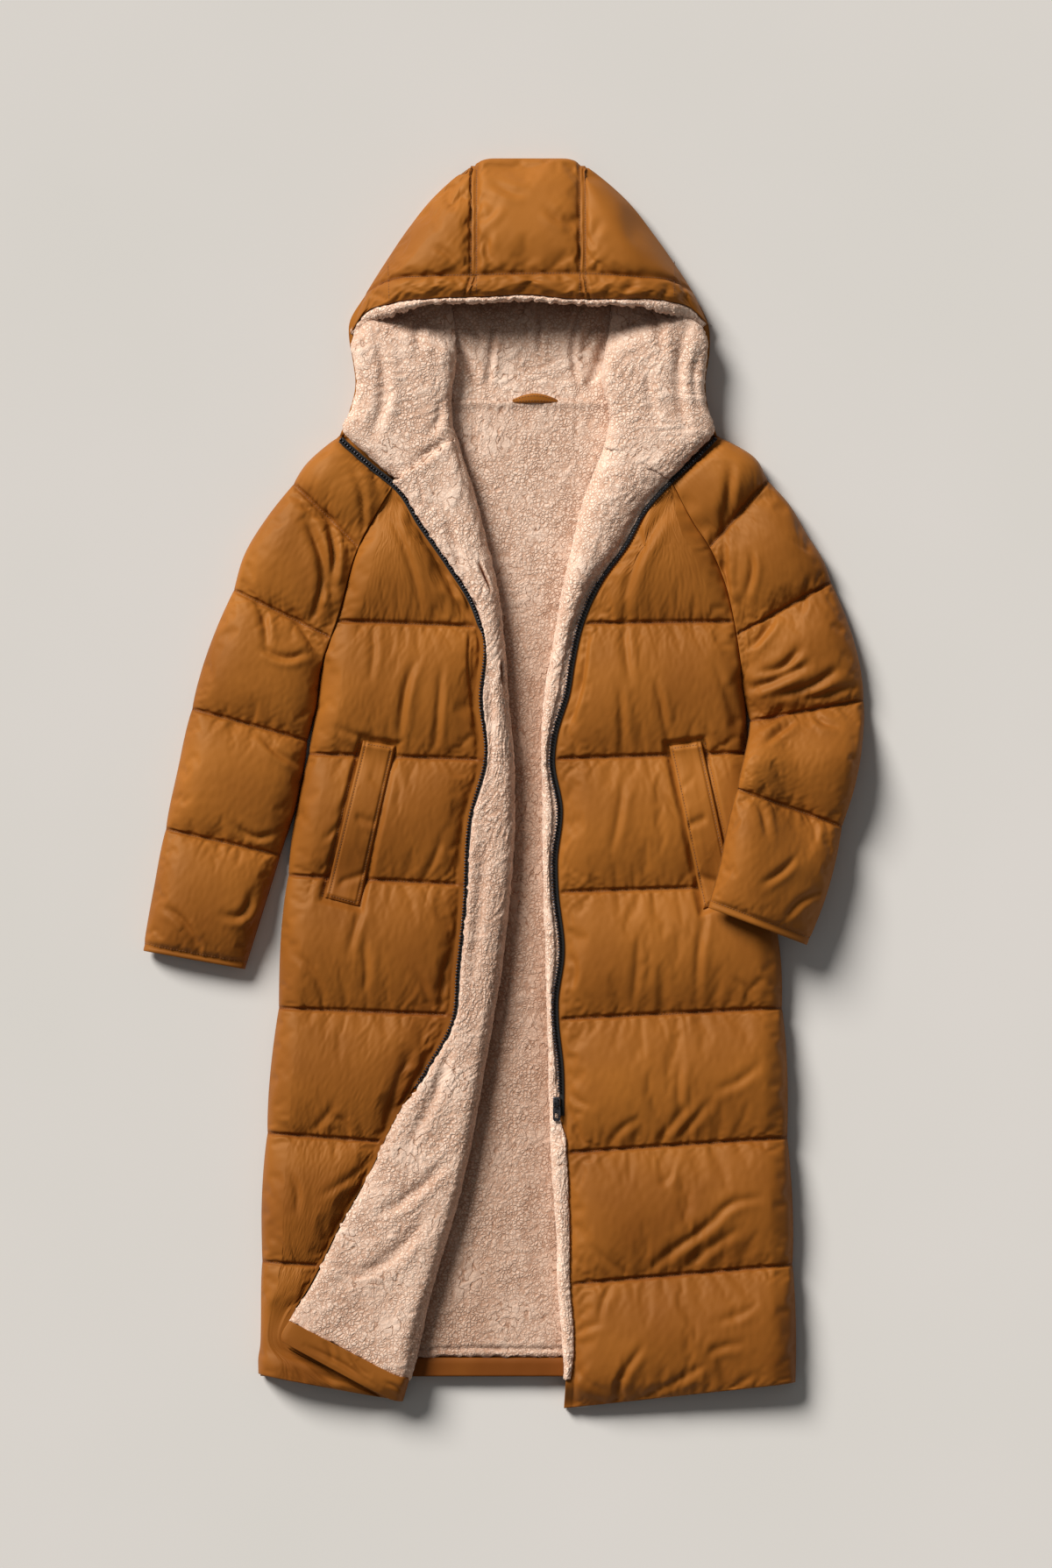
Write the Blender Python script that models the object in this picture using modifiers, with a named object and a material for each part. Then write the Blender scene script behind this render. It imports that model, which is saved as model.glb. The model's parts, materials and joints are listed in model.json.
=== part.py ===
"""A long hooded puffer coat with a fleece lining, laid flat with its fronts open.

The coat lies on its back on the plane z = 0, with its hood towards +Y and the left front towards +X.
Lengths in this file are millimetres, and MM turns them to metres where a mesh is made.
The layers lie on each other from the floor up: back panel, back lining, fronts, turned-back lapel.
"""
import math

import bmesh
import bpy
import numpy as np
from mathutils import Vector
from mathutils.bvhtree import BVHTree

MM = 0.001
SEAM_GAP = 0.3

# Heights of the layers above the floor.
BACK_THICK = 12.0
LINING_THICK = 6.7
LINING_BASE = BACK_THICK + SEAM_GAP
LINING_TOP = LINING_BASE + LINING_THICK
FRONT_BASE = LINING_TOP + 0.6
FRONT_SEAM = 30.0
FRONT_PUFF = 11.0
TAPE_THICK = 1.7
FLAP_BASE = FRONT_SEAM + SEAM_GAP + TAPE_THICK + SEAM_GAP
FLAP_TOP = 40.0
FLEECE_THICK = 6.7
FLEECE_TOP = FLAP_TOP + SEAM_GAP + FLEECE_THICK
SIDE_EDGE = 14.0
SIDE_ROUND = 28.0
SIDE_BULGE = 3.0
ZIP_FLAT = 13.0
FOLD_WALL = 9.7

# The front hems hang past the back hem and droop to the floor there.
DROOP_START = -716.0
DROOP_LENGTH = 32.0
DROOP = 17.0
BACK_HEM = -711.0

SLEEVE_SEAM = 26.0
SLEEVE_PUFF = 17.0
SLEEVE_EDGE = 13.0
CUFF_PUFF = 0.2

HOOD_WALL = 12.0
HOOD_EDGE_TOP = 22.0
HOOD_TOP = 74.0
HOOD_SEAM_DIP = 4.0
HOOD_SEAM_WIDTH = 9.0
TURNBACK_TOP = 38.0

# Seam and edge curves, each a table of x, y from the hood down.
RIGHT_RAGLAN = ((-131.2, 358.1), (-173.2, 283.5), (-198.5, 197.4), (-213.2, 156.5))
RIGHT_SIDE = ((-213.2, 156.5), (-220.0, 98.7), (-232.5, 35.7), (-257.2, -110.0), (-268.8, -269.0),
              (-282.4, -419.0), (-288.8, -573.0), (-291.9, -708.0))
RIGHT_EDGE = ((-196.9, 416.9), (-156.5, 381.2), (-128.1, 358.1), (-96.6, 310.8), (-65.1, 265.7),
              (-34.6, 216.3), (-22.1, 177.5), (-26.2, 98.7), (-19.9, 35.7), (-38.9, -41.0),
              (-46.2, -153.0), (-53.6, -222.6), (-60.9, -287.7), (-91.4, -343.4), (-130.2, -410.6),
              (-154.3, -463.0), (-192.2, -532.4), (-232.1, -611.0), (-251.0, -640.0), (-261.4, -669.0),
              (-199.5, -705.6), (-125.0, -744.5))
RIGHT_FOLD = ((-72.5, 592.2), (-55.7, 515.6), (-59.9, 476.7), (-60.9, 436.8), (-54.6, 412.7),
              (-34.6, 347.6), (-5.2, 231.0), (6.3, 109.2), (14.7, 12.6), (10.5, -115.5),
              (0.0, -216.3), (-19.9, -330.8), (-46.2, -473.6), (-85.0, -608.0), (-105.0, -697.2),
              (-117.6, -741.3))
LEFT_RAGLAN = ((201.6, 362.2), (226.8, 314.0), (246.8, 283.5), (263.6, 245.7), (277.2, 191.0),
               (284.6, 143.8))
LEFT_SIDE = ((284.6, 143.8), (287.7, 98.7), (294.0, 35.7), (308.7, -58.8), (321.3, -153.3),
             (328.7, -200.6), (333.9, -269.0), (340.2, -424.2), (346.5, -576.5), (348.6, -718.0))
LEFT_ZIP = ((257.2, 416.9), (233.1, 391.7), (201.6, 362.2), (173.2, 331.8), (144.9, 282.4),
            (119.7, 247.8), (95.5, 197.4), (83.0, 146.0), (77.7, 111.3), (62.0, 57.8), (58.8, 29.4),
            (68.2, -30.5), (62.0, -94.5), (63.0, -127.1), (70.4, -201.6), (63.0, -262.5),
            (63.5, -284.6), (69.3, -340.2), (70.4, -400.1), (72.5, -440.0), (76.7, -534.5),
            (76.7, -600.6), (80.9, -656.2), (79.8, -711.9), (77.7, -749.7))
LEFT_FOLD = ((132.3, 592.2), (122.9, 524.0), (116.6, 487.2), (126.0, 447.3), (127.1, 434.7),
             (119.7, 403.2), (104.5, 364.4), (91.4, 323.4), (72.5, 241.5), (59.9, 167.0),
             (52.5, 130.2), (45.1, 55.7), (46.2, -30.5), (48.3, -137.6), (53.6, -306.6),
             (56.7, -440.0), (63.0, -534.5), (65.1, -600.6), (70.4, -666.8), (72.5, -711.9),
             (70.5, -749.7))
RIGHT_BACK_RAGLAN = ((-98.7, 449.4), (-213.2, 156.5))
LEFT_BACK_RAGLAN = ((169.0, 449.4), (284.6, 143.8))
RIGHT_SLEEVE_OUTER = ((-196.9, 416.9), (-233.1, 383.2), (-250.4, 360.2), (-280.4, 319.2),
                      (-306.6, 276.2), (-322.4, 233.1), (-340.2, 188.0), (-355.4, 146.0),
                      (-371.7, 93.5), (-387.4, 14.7), (-404.2, -54.6), (-415.8, -126.0),
                      (-431.5, -200.6))
RIGHT_SLEEVE_INNER = ((-213.8, 156.0), (-221.0, 134.4), (-225.5, 98.7), (-235.0, 51.5),
                      (-249.9, -21.0), (-266.7, -84.0), (-292.9, -169.1), (-309.8, -222.6))
LEFT_SLEEVE_OUTER = ((257.2, 416.9), (295.1, 393.8), (314.5, 366.4), (338.1, 338.1), (363.3, 295.1),
                     (379.1, 271.9), (392.7, 241.5), (410.6, 192.2), (426.3, 134.4), (431.5, 99.8),
                     (427.4, 49.4), (416.9, -8.4), (405.3, -51.5), (395.9, -90.3), (383.2, -135.5),
                     (363.3, -193.2))
LEFT_SLEEVE_INNER = ((285.4, 143.0), (291.5, 98.7), (296.5, 62.0), (290.9, 29.4), (280.4, -6.3),
                     (269.9, -51.5), (260.4, -90.3), (244.7, -148.1))
HOOD_RIGHT_SIDE = ((-34.6, 740.2), (-55.7, 727.6), (-80.9, 705.6), (-111.3, 668.9), (-138.6, 629.0),
                   (-163.8, 589.1), (-184.8, 552.3), (-184.8, 533.4), (-180.6, 509.2),
                   (-177.5, 477.8), (-184.8, 447.3), (-196.3, 418.5))
HOOD_LEFT_SIDE = ((89.2, 747.6), (104.0, 737.1), (144.4, 703.0), (181.7, 656.8), (205.8, 622.6),
                  (227.9, 588.0), (246.5, 549.1), (247.8, 524.0), (242.6, 477.8), (244.7, 456.8),
                  (256.2, 418.5))
# Along the hood the curves run across it, so these tables are y, x.
BRIM = ((536.6, -184.8), (558.6, -170.1), (573.3, -136.0), (579.6, -80.9), (581.7, -18.9),
        (583.8, 30.5), (579.6, 73.5), (578.6, 135.5), (576.5, 196.3), (567.0, 227.9), (549.1, 245.7))
BAND_SEAM = ((589.1, -163.8), (601.6, -138.6), (605.9, -89.8), (607.4, -37.8), (609.0, 30.5),
             (609.0, 98.2), (604.8, 165.9), (601.6, 202.7), (589.1, 227.9))
NECK = ((416.9, -197.0), (449.4, -98.7), (460.0, -58.8), (460.0, 123.9), (449.4, 169.0),
        (416.9, 257.5))
CENTRE_STRIP_TOP = 749.7
CENTRE_STRIP_RIGHT = -35.2
CENTRE_STRIP_LEFT = 94.6

# Quilt seams of each front: y at the side seam, at the fold of the lapel and at its free edge.
RIGHT_LEVELS = (
    ("neck", 358.1, 412.7, 358.1),
    ("yoke", 283.5, 296.0, 286.0),
    ("chest", 195.0, 187.0, 195.0),
    ("waist", 35.7, 27.3, 33.6),
    ("hip", -110.0, -124.0, -124.0),
    ("thigh", -269.0, -279.3, -279.3),
    ("knee", -419.0, -436.8, -405.0),
    ("calf", -573.0, -586.0, -536.0),
    ("hem", -708.0, -741.3, -669.0),
)
# The same for the left front: y at the side seam and at the fold of its lapel.
LEFT_LEVELS = (
    ("neck", 362.2, 402.5),
    ("yoke", 283.5, 290.0),
    ("chest", 194.0, 191.5),
    ("waist", 37.0, 29.0),
    ("hip", -122.0, -130.5),
    ("thigh", -269.0, -283.0),
    ("knee", -424.2, -443.5),
    ("calf", -576.5, -601.0),
    ("hem", -718.0, -749.7),
)
# Quilt seams of each sleeve: y at the outer edge, at the front inner edge and at the back inner edge.
RIGHT_SLEEVE_LEVELS = (
    ("neck", 416.9, 358.1, 449.4),
    ("shoulder", 359.0, 283.5, 352.0),
    ("upper arm", 232.0, 175.0, 175.0),
    ("elbow", 89.5, 51.5, 51.5),
    ("forearm", -54.6, -86.0, -86.0),
    ("cuff", -200.6, -222.6, -222.6),
)
LEFT_SLEEVE_LEVELS = (
    ("neck", 416.9, 362.2, 449.4),
    ("shoulder", 363.0, 283.5, 352.0),
    ("upper arm", 241.5, 178.5, 178.5),
    ("elbow", 99.8, 75.0, 75.0),
    ("forearm", -51.5, -6.3, -6.3),
    ("cuff", -193.2, -148.1, -148.1),
)
STEPS = (0.0, 0.12, 0.35, 0.65, 0.88)
DENSE = (0.0, 0.12, 0.3, 0.5, 0.7, 0.88)
NECK_STEPS = (0.0, 0.18, 0.34, 0.5, 0.68, 0.86)
RIGHT_ARMPIT_STEPS = (0.0, 0.12, 0.24, 0.42, 0.65, 0.88)
LEFT_ARMPIT_STEPS = (0.0, 0.12, 0.32, 0.5, 0.7, 0.88)
RIGHT_UNDERARM_STEPS = (0.0, 0.145, 0.17, 0.4, 0.65, 0.88)
LEFT_UNDERARM_STEPS = (0.0, 0.2, 0.33, 0.36, 0.48, 0.68, 0.87)
HEM_STEPS = (0.0, 0.12, 0.35, 0.62, 0.81, 0.905)
CUFF_STEPS = (0.0, 0.12, 0.35, 0.65, 0.84, 0.94)
HEM_FULLNESS = 0.85

SHELL = ("quilted_nylon", (0.40, 0.148, 0.022, 1.0), 0.42)
FLEECE = ("sherpa_fleece", (0.76, 0.53, 0.41, 1.0), 0.95)
TAPE = ("zip_tape", (0.012, 0.012, 0.013, 1.0), 0.7)
METAL = ("black_zinc", (0.02, 0.02, 0.022, 1.0), 0.35)


def material(finish):
    """One material for each finish, made the first time it is asked for."""
    name, colour, roughness = finish
    made = bpy.data.materials.get(name)
    if made is None:
        made = bpy.data.materials.new(name)
        made.use_nodes = True
        shader = made.node_tree.nodes["Principled BSDF"]
        shader.inputs["Base Color"].default_value = colour
        shader.inputs["Roughness"].default_value = roughness
        shader.inputs["Metallic"].default_value = 0.8 if finish is METAL else 0.0
    return made


def place(name, mesh, finish):
    """Puts a mesh in the coat's collection as a named piece with its own material."""
    piece = bpy.data.objects.new(name, mesh)
    own = material(finish).copy()
    own.name = name
    mesh.materials.append(own)
    bpy.data.collections["long_puffer_coat"].objects.link(piece)
    return piece


def curve(table, linear=False):
    """Reads a table of (x, y) rows as a smooth curve: x for any y, held past its ends."""
    rows = sorted(table, key=lambda row: row[1])
    x = np.array([row[0] for row in rows])
    y = np.array([row[1] for row in rows])
    slope = np.gradient(x, y) if len(rows) > 2 else np.full(2, (x[1] - x[0]) / (y[1] - y[0]))

    def read(at):
        at = min(max(at, y[0]), y[-1])
        if linear:
            return float(np.interp(at, y, x))
        k = min(int(np.searchsorted(y, at, side="right")) - 1, len(y) - 2)
        span = y[k + 1] - y[k]
        t = (at - y[k]) / span
        near = (1 + 2 * t) * (1 - t) ** 2 * x[k] + t * (1 - t) ** 2 * span * slope[k]
        far = t * t * (3 - 2 * t) * x[k + 1] + t * t * (t - 1) * span * slope[k + 1]
        return float(near + far)

    return read


def smoothstep(t):
    t = min(max(t, 0.0), 1.0)
    return t * t * (3 - 2 * t)


def quarter_round(t):
    """0 at t = 0 and 1 from t = 1, as the edge of a filled panel rises."""
    t = min(max(t, 0.0), 1.0)
    return math.sqrt(1 - (1 - t) ** 2)


def pillow(w):
    """How full a channel is at the fraction w between its two seams."""
    return max(math.sin(math.pi * w), 0.0) ** 0.7


def mix(a, b, t):
    return a + (b - a) * t


def droop(y):
    return DROOP * smoothstep((DROOP_START - y) / DROOP_LENGTH)


def channel_rows(levels, steps_of):
    """Rows along a quilted piece: the level values between its seams, and how full the row is."""
    rows = []
    for k in range(len(levels) - 1):
        reach = 1.0 if k < len(levels) - 2 else HEM_FULLNESS
        for w in steps_of(k):
            values = [mix(a, b, w) for a, b in zip(levels[k][1:], levels[k + 1][1:])]
            rows.append((values, pillow(w * reach)))
    rows.append((list(levels[-1][1:]), pillow(HEM_FULLNESS)))
    return rows


def closed_wall(name, outer, inner, finish, row_keys=None):
    """Joins an outer and an inner grid of points, and their rims, to one closed body.

    The inner side is plain, so it keeps only the rows in row_keys and the whole of its border.
    """
    outer = np.array(outer, dtype=float) * MM
    inner = np.array(inner, dtype=float) * MM
    rows, cols = outer.shape[:2]
    keys = sorted(set([0, rows - 1]) | set(row_keys or range(rows)))
    bm = bmesh.new()
    top = [[bm.verts.new(outer[i, j]) for j in range(cols)] for i in range(rows)]
    low = {}
    for i in range(rows):
        for j in range(cols):
            if i in keys or j in (0, cols - 1):
                low[i, j] = bm.verts.new(inner[i, j])
    for i in range(rows - 1):
        for j in range(cols - 1):
            bm.faces.new((top[i][j], top[i][j + 1], top[i + 1][j + 1], top[i + 1][j]))
    for near, far in zip(keys, keys[1:]):
        for j in range(cols - 1):
            left = [(i, j) for i in range(near, far + 1) if (i, j) in low]
            right = [(i, j + 1) for i in range(far, near - 1, -1) if (i, j + 1) in low]
            bm.faces.new([low[key] for key in left + right])
    border = [(0, j) for j in range(cols)] + [(i, cols - 1) for i in range(1, rows)]
    border += [(rows - 1, j) for j in range(cols - 2, -1, -1)] + [(i, 0) for i in range(rows - 2, 0, -1)]
    for a, b in zip(border, border[1:] + border[:1]):
        bm.faces.new((top[b[0]][b[1]], top[a[0]][a[1]], low[a], low[b]))
    bmesh.ops.recalc_face_normals(bm, faces=bm.faces)
    if bm.calc_volume(signed=True) < 0:
        bmesh.ops.reverse_faces(bm, faces=bm.faces)
    mesh = bpy.data.meshes.new(name)
    bm.to_mesh(mesh)
    bm.free()
    mesh.shade_smooth()
    mesh.set_sharp_from_angle(angle=math.radians(50))
    return place(name, mesh, finish)


def plain_rows(rows):
    """The rows a front's plain side keeps: on each seam, round the armpit, and where the hem droops."""
    kept = [i for i, (_, full) in enumerate(rows) if full < 0.02 or i > len(rows) - 5]
    return kept + [14, 15, 16]


class Line:
    """A straight row across a panel, read by the distance from its start."""

    def __init__(self, start, end):
        self.start = np.array(start, dtype=float)
        self.length = float(np.linalg.norm(np.array(end) - self.start))
        self.way = (np.array(end) - self.start) / self.length

    def at(self, s, z):
        x, y = self.start + self.way * s
        return (x, y, z)

    def crossing(self, line):
        """How far along the row it meets a curve of x for any y."""
        near, far = 0.0, self.length
        rising = self.way[0] > 0
        for _ in range(40):
            middle = 0.5 * (near + far)
            x, y, _ = self.at(middle, 0)
            if (x < line(y)) == rising:
                near = middle
            else:
                far = middle
        return near


def front_section(row, cover, end, full, open_side):
    """Outer and inner points of a front from its side seam to its covered edge.

    cover is how far along the row the zip runs, and open_side is 0 at the raglan seam, 1 at the side seam.
    """
    cover = max(cover, 6.0)
    full = full * smoothstep((cover - 27.0) / 80.0)
    round_end = min(SIDE_ROUND, 0.35 * cover)
    flat = cover - min(ZIP_FLAT, 0.3 * cover)
    side_top = mix(FRONT_SEAM - 2.0, SIDE_EDGE, open_side)
    side_base = mix(FRONT_BASE, BACK_THICK - 4.4, open_side)
    stations = [0.0, 0.3 * round_end, round_end]
    stations += [mix(round_end, flat, t) for t in (0.2, 0.4, 0.6, 0.8, 1.0)]
    stations += [cover, mix(cover, end, 0.5), end]
    plain = stations[:-3] + [mix(flat, end, 0.3), mix(flat, end, 0.5), end]
    outer, inner = [], []
    for s, under in zip(stations, plain):
        bulge = -SIDE_BULGE * full * smoothstep((10.0 - row.start[1]) / 60.0) if s == 0 else 0.0
        height = mix(side_top, FRONT_SEAM, quarter_round(s / round_end))
        rise = quarter_round(s / (1.4 * round_end)) * quarter_round((flat - s) / (0.3 * flat + 1))
        drop = droop(row.at(s, 0)[1])
        outer.append(row.at(s + bulge, height + FRONT_PUFF * full * rise - drop))
        base = mix(side_base, FRONT_BASE, smoothstep(under / 24.0))
        inner.append(row.at(under + bulge, base - droop(row.at(under, 0)[1])))
    return outer, inner


def right_front_frame(values):
    """The row of the right front at a level, with its shell fold and its lapel row."""
    y_side, y_fold, y_edge = values
    side_x = RAGLAN_R(y_side) + SEAM_GAP if y_side > RIGHT_RAGLAN[-1][1] else SIDE_R(y_side)
    fold = (FOLD_R(y_fold), y_fold)
    row = Line((side_x, y_side), fold)
    shell_fold = row.length - FLEECE_THICK - 1.4
    edge = np.array((EDGE_R(y_edge), y_edge))
    start = row.at(shell_fold - FOLD_WALL - 0.3, 0)[:2]
    return row, shell_fold, Line(start, edge)


def open_at_side(y, armpit):
    return smoothstep((armpit - y) / 30.0)


def right_front():
    """The right front, folded back on itself along the lapel fold."""
    rows = channel_rows(RIGHT_LEVELS, lambda k: front_steps(k, RIGHT_ARMPIT_STEPS))
    outer, inner = [], []
    for values, full in rows:
        row, fold, lapel = right_front_frame(values)
        cover = min(row.crossing(EDGE_R), fold - FOLD_WALL - 4)
        is_open = open_at_side(values[0], RIGHT_RAGLAN[-1][1])
        out, into = front_section(row, cover, fold - FOLD_WALL - 0.3, full, is_open)
        drop = droop(row.at(fold, 0)[1])
        for s, z in ((-FOLD_WALL, FRONT_SEAM + 0.4), (0.4 - FOLD_WALL, FRONT_SEAM + 1.1),
                     (-FOLD_WALL, FLAP_BASE - 0.4)):
            out.append(row.at(fold + s, z - drop))
        for s, z in ((-2.5, FRONT_BASE + 2), (0.0, FRONT_SEAM), (-2.5, FLAP_TOP - 2)):
            into.append(row.at(fold + s, z - drop))
        for t, plain in ((0.0, 0.0), (0.14, 0.14), (0.3, 0.3), (0.6, 0.5), (0.85, 0.62), (1.0, 1.0)):
            x, y, _ = lapel.at(lapel.length * t, 0)
            out.append((x, y, FLAP_BASE - droop(y)))
            x, y, _ = lapel.at(lapel.length * plain, 0)
            into.append((x, y, FLAP_TOP - droop(y)))
        outer.append(out)
        inner.append(into)
    return closed_wall("right_front", outer, inner, SHELL, plain_rows(rows))


def front_steps(channel, armpit_steps):
    """How the rows are spread over each channel of a front."""
    if channel == 0:
        return NECK_STEPS
    if channel == 1:
        return DENSE
    if channel == 2:
        return armpit_steps
    return HEM_STEPS if channel == 7 else STEPS


def lapel_cover(name, finish, levels, thick, lift):
    """A layer over the lapel, from its free edge round its fold and down to the back lining."""
    outer, inner = [], []
    for values in levels:
        row, fold, lapel = right_front_frame(values)
        drop = droop(row.at(fold, 0)[1])
        top = FLAP_TOP + SEAM_GAP + thick
        base = FLAP_TOP + SEAM_GAP + lift
        top += lift
        out, into = [], []
        length = lapel.length
        for s, z in ((length - 1, base + 0.5 * thick), (length - min(7.0, 0.15 * length), top),
                     (0.62 * length, top), (0.5 * length, top), (0.3 * length, top),
                     (0.14 * length, top)):
            spot = lapel.at(s, 0)
            out.append((spot[0], spot[1], z - droop(spot[1])))
            into.append((spot[0], spot[1], base - droop(spot[1])))
        for s, z in ((-8.0, top), (0.0, top - 2.0), (thick - 1.0, FLAP_TOP - 3),
                     (thick + 1.2, FRONT_SEAM - 1), (thick + 1.2, LINING_TOP + 0.4)):
            out.append(row.at(fold + s, z - drop))
        for s, z in ((-FOLD_WALL - 0.3, base), (-1.6, FLAP_TOP - 1.4), (0.2, FLAP_TOP - 5),
                     (1.1, FRONT_SEAM), (1.1, LINING_TOP + 0.4)):
            into.append(row.at(fold + s, z - drop))
        outer.append(out)
        inner.append(into)
    return closed_wall(name, outer, inner, finish)


def right_lapel_layers():
    """The fleece of the lapel, and the shell facing that turns its hem."""
    levels = RIGHT_LEVELS
    hem = levels[-1][1:]
    calf = levels[-2][1:]
    end = [mix(a, b, 0.805) for a, b in zip(calf, hem)]
    facing = [mix(a, b, 0.81) for a, b in zip(calf, hem)]
    rows = []
    for k in range(len(levels) - 2):
        for w in (0.0, 0.25, 0.5, 0.75):
            rows.append([mix(a, b, w) for a, b in zip(levels[k][1:], levels[k + 1][1:])])
    rows += [[mix(a, b, w) for a, b in zip(calf, end)] for w in (0.0, 0.33, 0.66, 1.0)]
    lapel_cover("right_front_lining", FLEECE, rows, FLEECE_THICK, 0.0)
    rows = [[mix(a, b, w) for a, b in zip(facing, hem)] for w in (0.0, 0.5, 1.0)]
    lapel_cover("right_front_hem_facing", SHELL, rows, FLEECE_THICK - 2.4, 3.2)


def left_front_frame(values):
    """The row of the left front, and where it meets the zip, the facing's edge and its own hidden edge."""
    y_side, y_fold = values
    side_x = RAGLAN_L(y_side) - SEAM_GAP if y_side > LEFT_RAGLAN[-1][1] else SIDE_L(y_side)
    row = Line((side_x, y_side), (FOLD_L(y_fold), y_fold))
    zip_line = row.crossing(ZIP_L)
    room = row.length - zip_line
    cover_end = zip_line + min(4.6, 0.35 * room)
    return row, zip_line, cover_end, row.length - min(10.0, 0.5 * (row.length - cover_end))


def left_front():
    """The left front, shell upwards, whose free edge lies under the fleece facing."""
    rows = channel_rows(LEFT_LEVELS, lambda k: front_steps(k, LEFT_ARMPIT_STEPS))
    outer, inner = [], []
    for values, full in rows:
        row, zip_line, _, hidden = left_front_frame(values)
        is_open = open_at_side(values[0], LEFT_RAGLAN[-1][1])
        out, into = front_section(row, zip_line, hidden, full, is_open)
        outer.append(out)
        inner.append(into)
    return closed_wall("left_front", outer, inner, SHELL, plain_rows(rows))


def left_front_facing():
    """The fleece along the left front: a lapel at the chest, a rolled edge lower down."""
    outer, inner = [], []
    for k in range(len(LEFT_LEVELS) - 1):
        steps = (0.0, 0.12, 0.3, 0.5, 0.7, 0.88) if k < 2 else (0.0, 0.25, 0.5, 0.75)
        steps = {5: (0.0, 0.25, 0.5, 0.56, 0.78, 0.88), 7: HEM_STEPS + (1.0,)}.get(k, steps)
        for w in steps:
            values = [mix(a, b, w) for a, b in zip(LEFT_LEVELS[k][1:], LEFT_LEVELS[k + 1][1:])]
            out, into = facing_section(values)
            outer.append(out)
            inner.append(into)
    return closed_wall("left_front_facing", outer, inner, FLEECE)


def facing_section(values):
    """Outer and inner points of the left facing, from its fold to the zip; the slider presses it flat."""
    row, _, end, hidden = left_front_frame(values)
    y = values[1]
    step = hidden + 0.9
    wide = row.length - end
    top = mix(36.0, FLEECE_TOP, smoothstep((y - 90.0) / 200.0))
    top = mix(31.9, top, smoothstep((abs(y - SLIDER_Y + 9.0) - 20.0) / 30.0))
    base = FRONT_SEAM + 0.4
    low = LINING_TOP + 0.4
    marks = ((0.0, 26.0), (0.12, mix(26.0, top, 0.75)), (0.35, top), (0.65, top),
             (0.88, mix(min(top, 33.0), top, 0.8)), (1.0, min(top, 33.0)), (1.0, FRONT_SEAM + 0.6))
    spots = [(row.length - 0.05 * min(wide, 6.0), low)]
    spots += [(row.length - wide * share, z) for share, z in marks]
    under = [(mix(row.length, step, 0.4), low), (mix(row.length, step, 0.7), low), (step, low),
             (step, base), (mix(step, end, 0.3), base), (mix(step, end, 0.6), base),
             (mix(step, end, 0.8), base), (end + 0.2, base)]
    out, into = [], []
    for path, points in ((spots, out), (under, into)):
        for s, z in path:
            points.append(row.at(s, z - droop(row.at(s, 0)[1])))
    return out, into


def back_panel():
    """The back, flat on the floor, up to the raglan seams and the neck."""
    levels = (449.4, 420.0, 358.0, 240.0, 156.6, 143.9, 120.0, 98.7, 36.0, -41.0, -117.0,
              -200.0, -269.0, -350.0, -424.0, -500.0, -586.0, BACK_HEM)
    outer, inner = [], []
    for y in levels:
        raglan = (y > 156.5, y > 143.8)
        left = BACK_RAGLAN_R(y) + SEAM_GAP if raglan[0] else SIDE_R(y) + 0.6
        right = BACK_RAGLAN_L(y) - SEAM_GAP if raglan[1] else SIDE_L(y) - 0.6
        wide = right - left
        if y > 440:
            marks = [x - left for x in (left, -88.0, -73.0, -58.8, 0.0, 30.0, 60.0, 123.9, 140.0, 155.0, right)]
        else:
            marks = [0, 6, 20, 0.2 * wide, 0.35 * wide, 0.5 * wide]
            marks += [wide - m for m in reversed(marks[:-1])]
        xs = [left + m for m in marks]
        out, into = [], []
        for j, x in enumerate(xs):
            rim = min(j, len(xs) - 1 - j)
            edge = BACK_THICK if raglan[j > 5] else 7.0
            z = mix(edge, BACK_THICK, (0.0, 0.2, 0.85, 1.0, 1.0, 1.0)[rim])
            y_here = NECK_LINE(x) - SEAM_GAP if y == levels[0] else y
            out.append((x, y_here, z))
            shift = 0.0 if raglan[j > 5] else (4.0, 10.0, 0.0, 0.0, 0.0, 0.0)[rim]
            into.append((x + (shift if j < 5 else -shift), y_here, 0.0))
        outer.append(out)
        inner.append(into)
    return closed_wall("back_panel", outer, inner, SHELL, (0, 4, 5, 7, 10, 13, 16, 17))


def back_lining():
    """The fleece over the back, hemmed by a strip of shell."""
    def strip(name, finish, levels, thick, under):
        outer, inner = [], []
        for y in levels:
            left = max(SIDE_R(y) + 50.0, FOLD_R(y) - under)
            right = min(SIDE_L(y) - 40.0, FOLD_L(y) + under)
            if y > 150:
                left = max(FOLD_R(y) - 40.0, BACK_RAGLAN_R(y) + 8.0)
                right = min(FOLD_L(y) + 60.0, BACK_RAGLAN_L(y) - 8.0)
            if y > 357:
                left, right = FOLD_R(y) - 7.0, FOLD_L(y) + 7.0
            xs = np.linspace(left, right, 5)
            top = y == levels[0] and finish is FLEECE
            out = [(x, NECK_LINE(x) - 2.0 if top else y, LINING_BASE + thick) for x in xs]
            outer.append(out)
            inner.append([(x, py, LINING_BASE) for x, py, _ in out])
        return closed_wall(name, outer, inner, finish)

    down = (458.0, 437.0, 413.0, 385.0, 358.0, 356.0, 320.0, 231.0, 160.0, 149.0, 109.0, 12.0, -60.0,
            -115.0, -216.0, -331.0, -400.0, -474.0, -540.0, -608.0, -650.0, -688.0)
    strip("back_lining", FLEECE, down, LINING_THICK, 400.0)
    strip("back_hem_facing", SHELL, (-688.5, -700.0, BACK_HEM), LINING_THICK - 2.0, 20.0)


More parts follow.
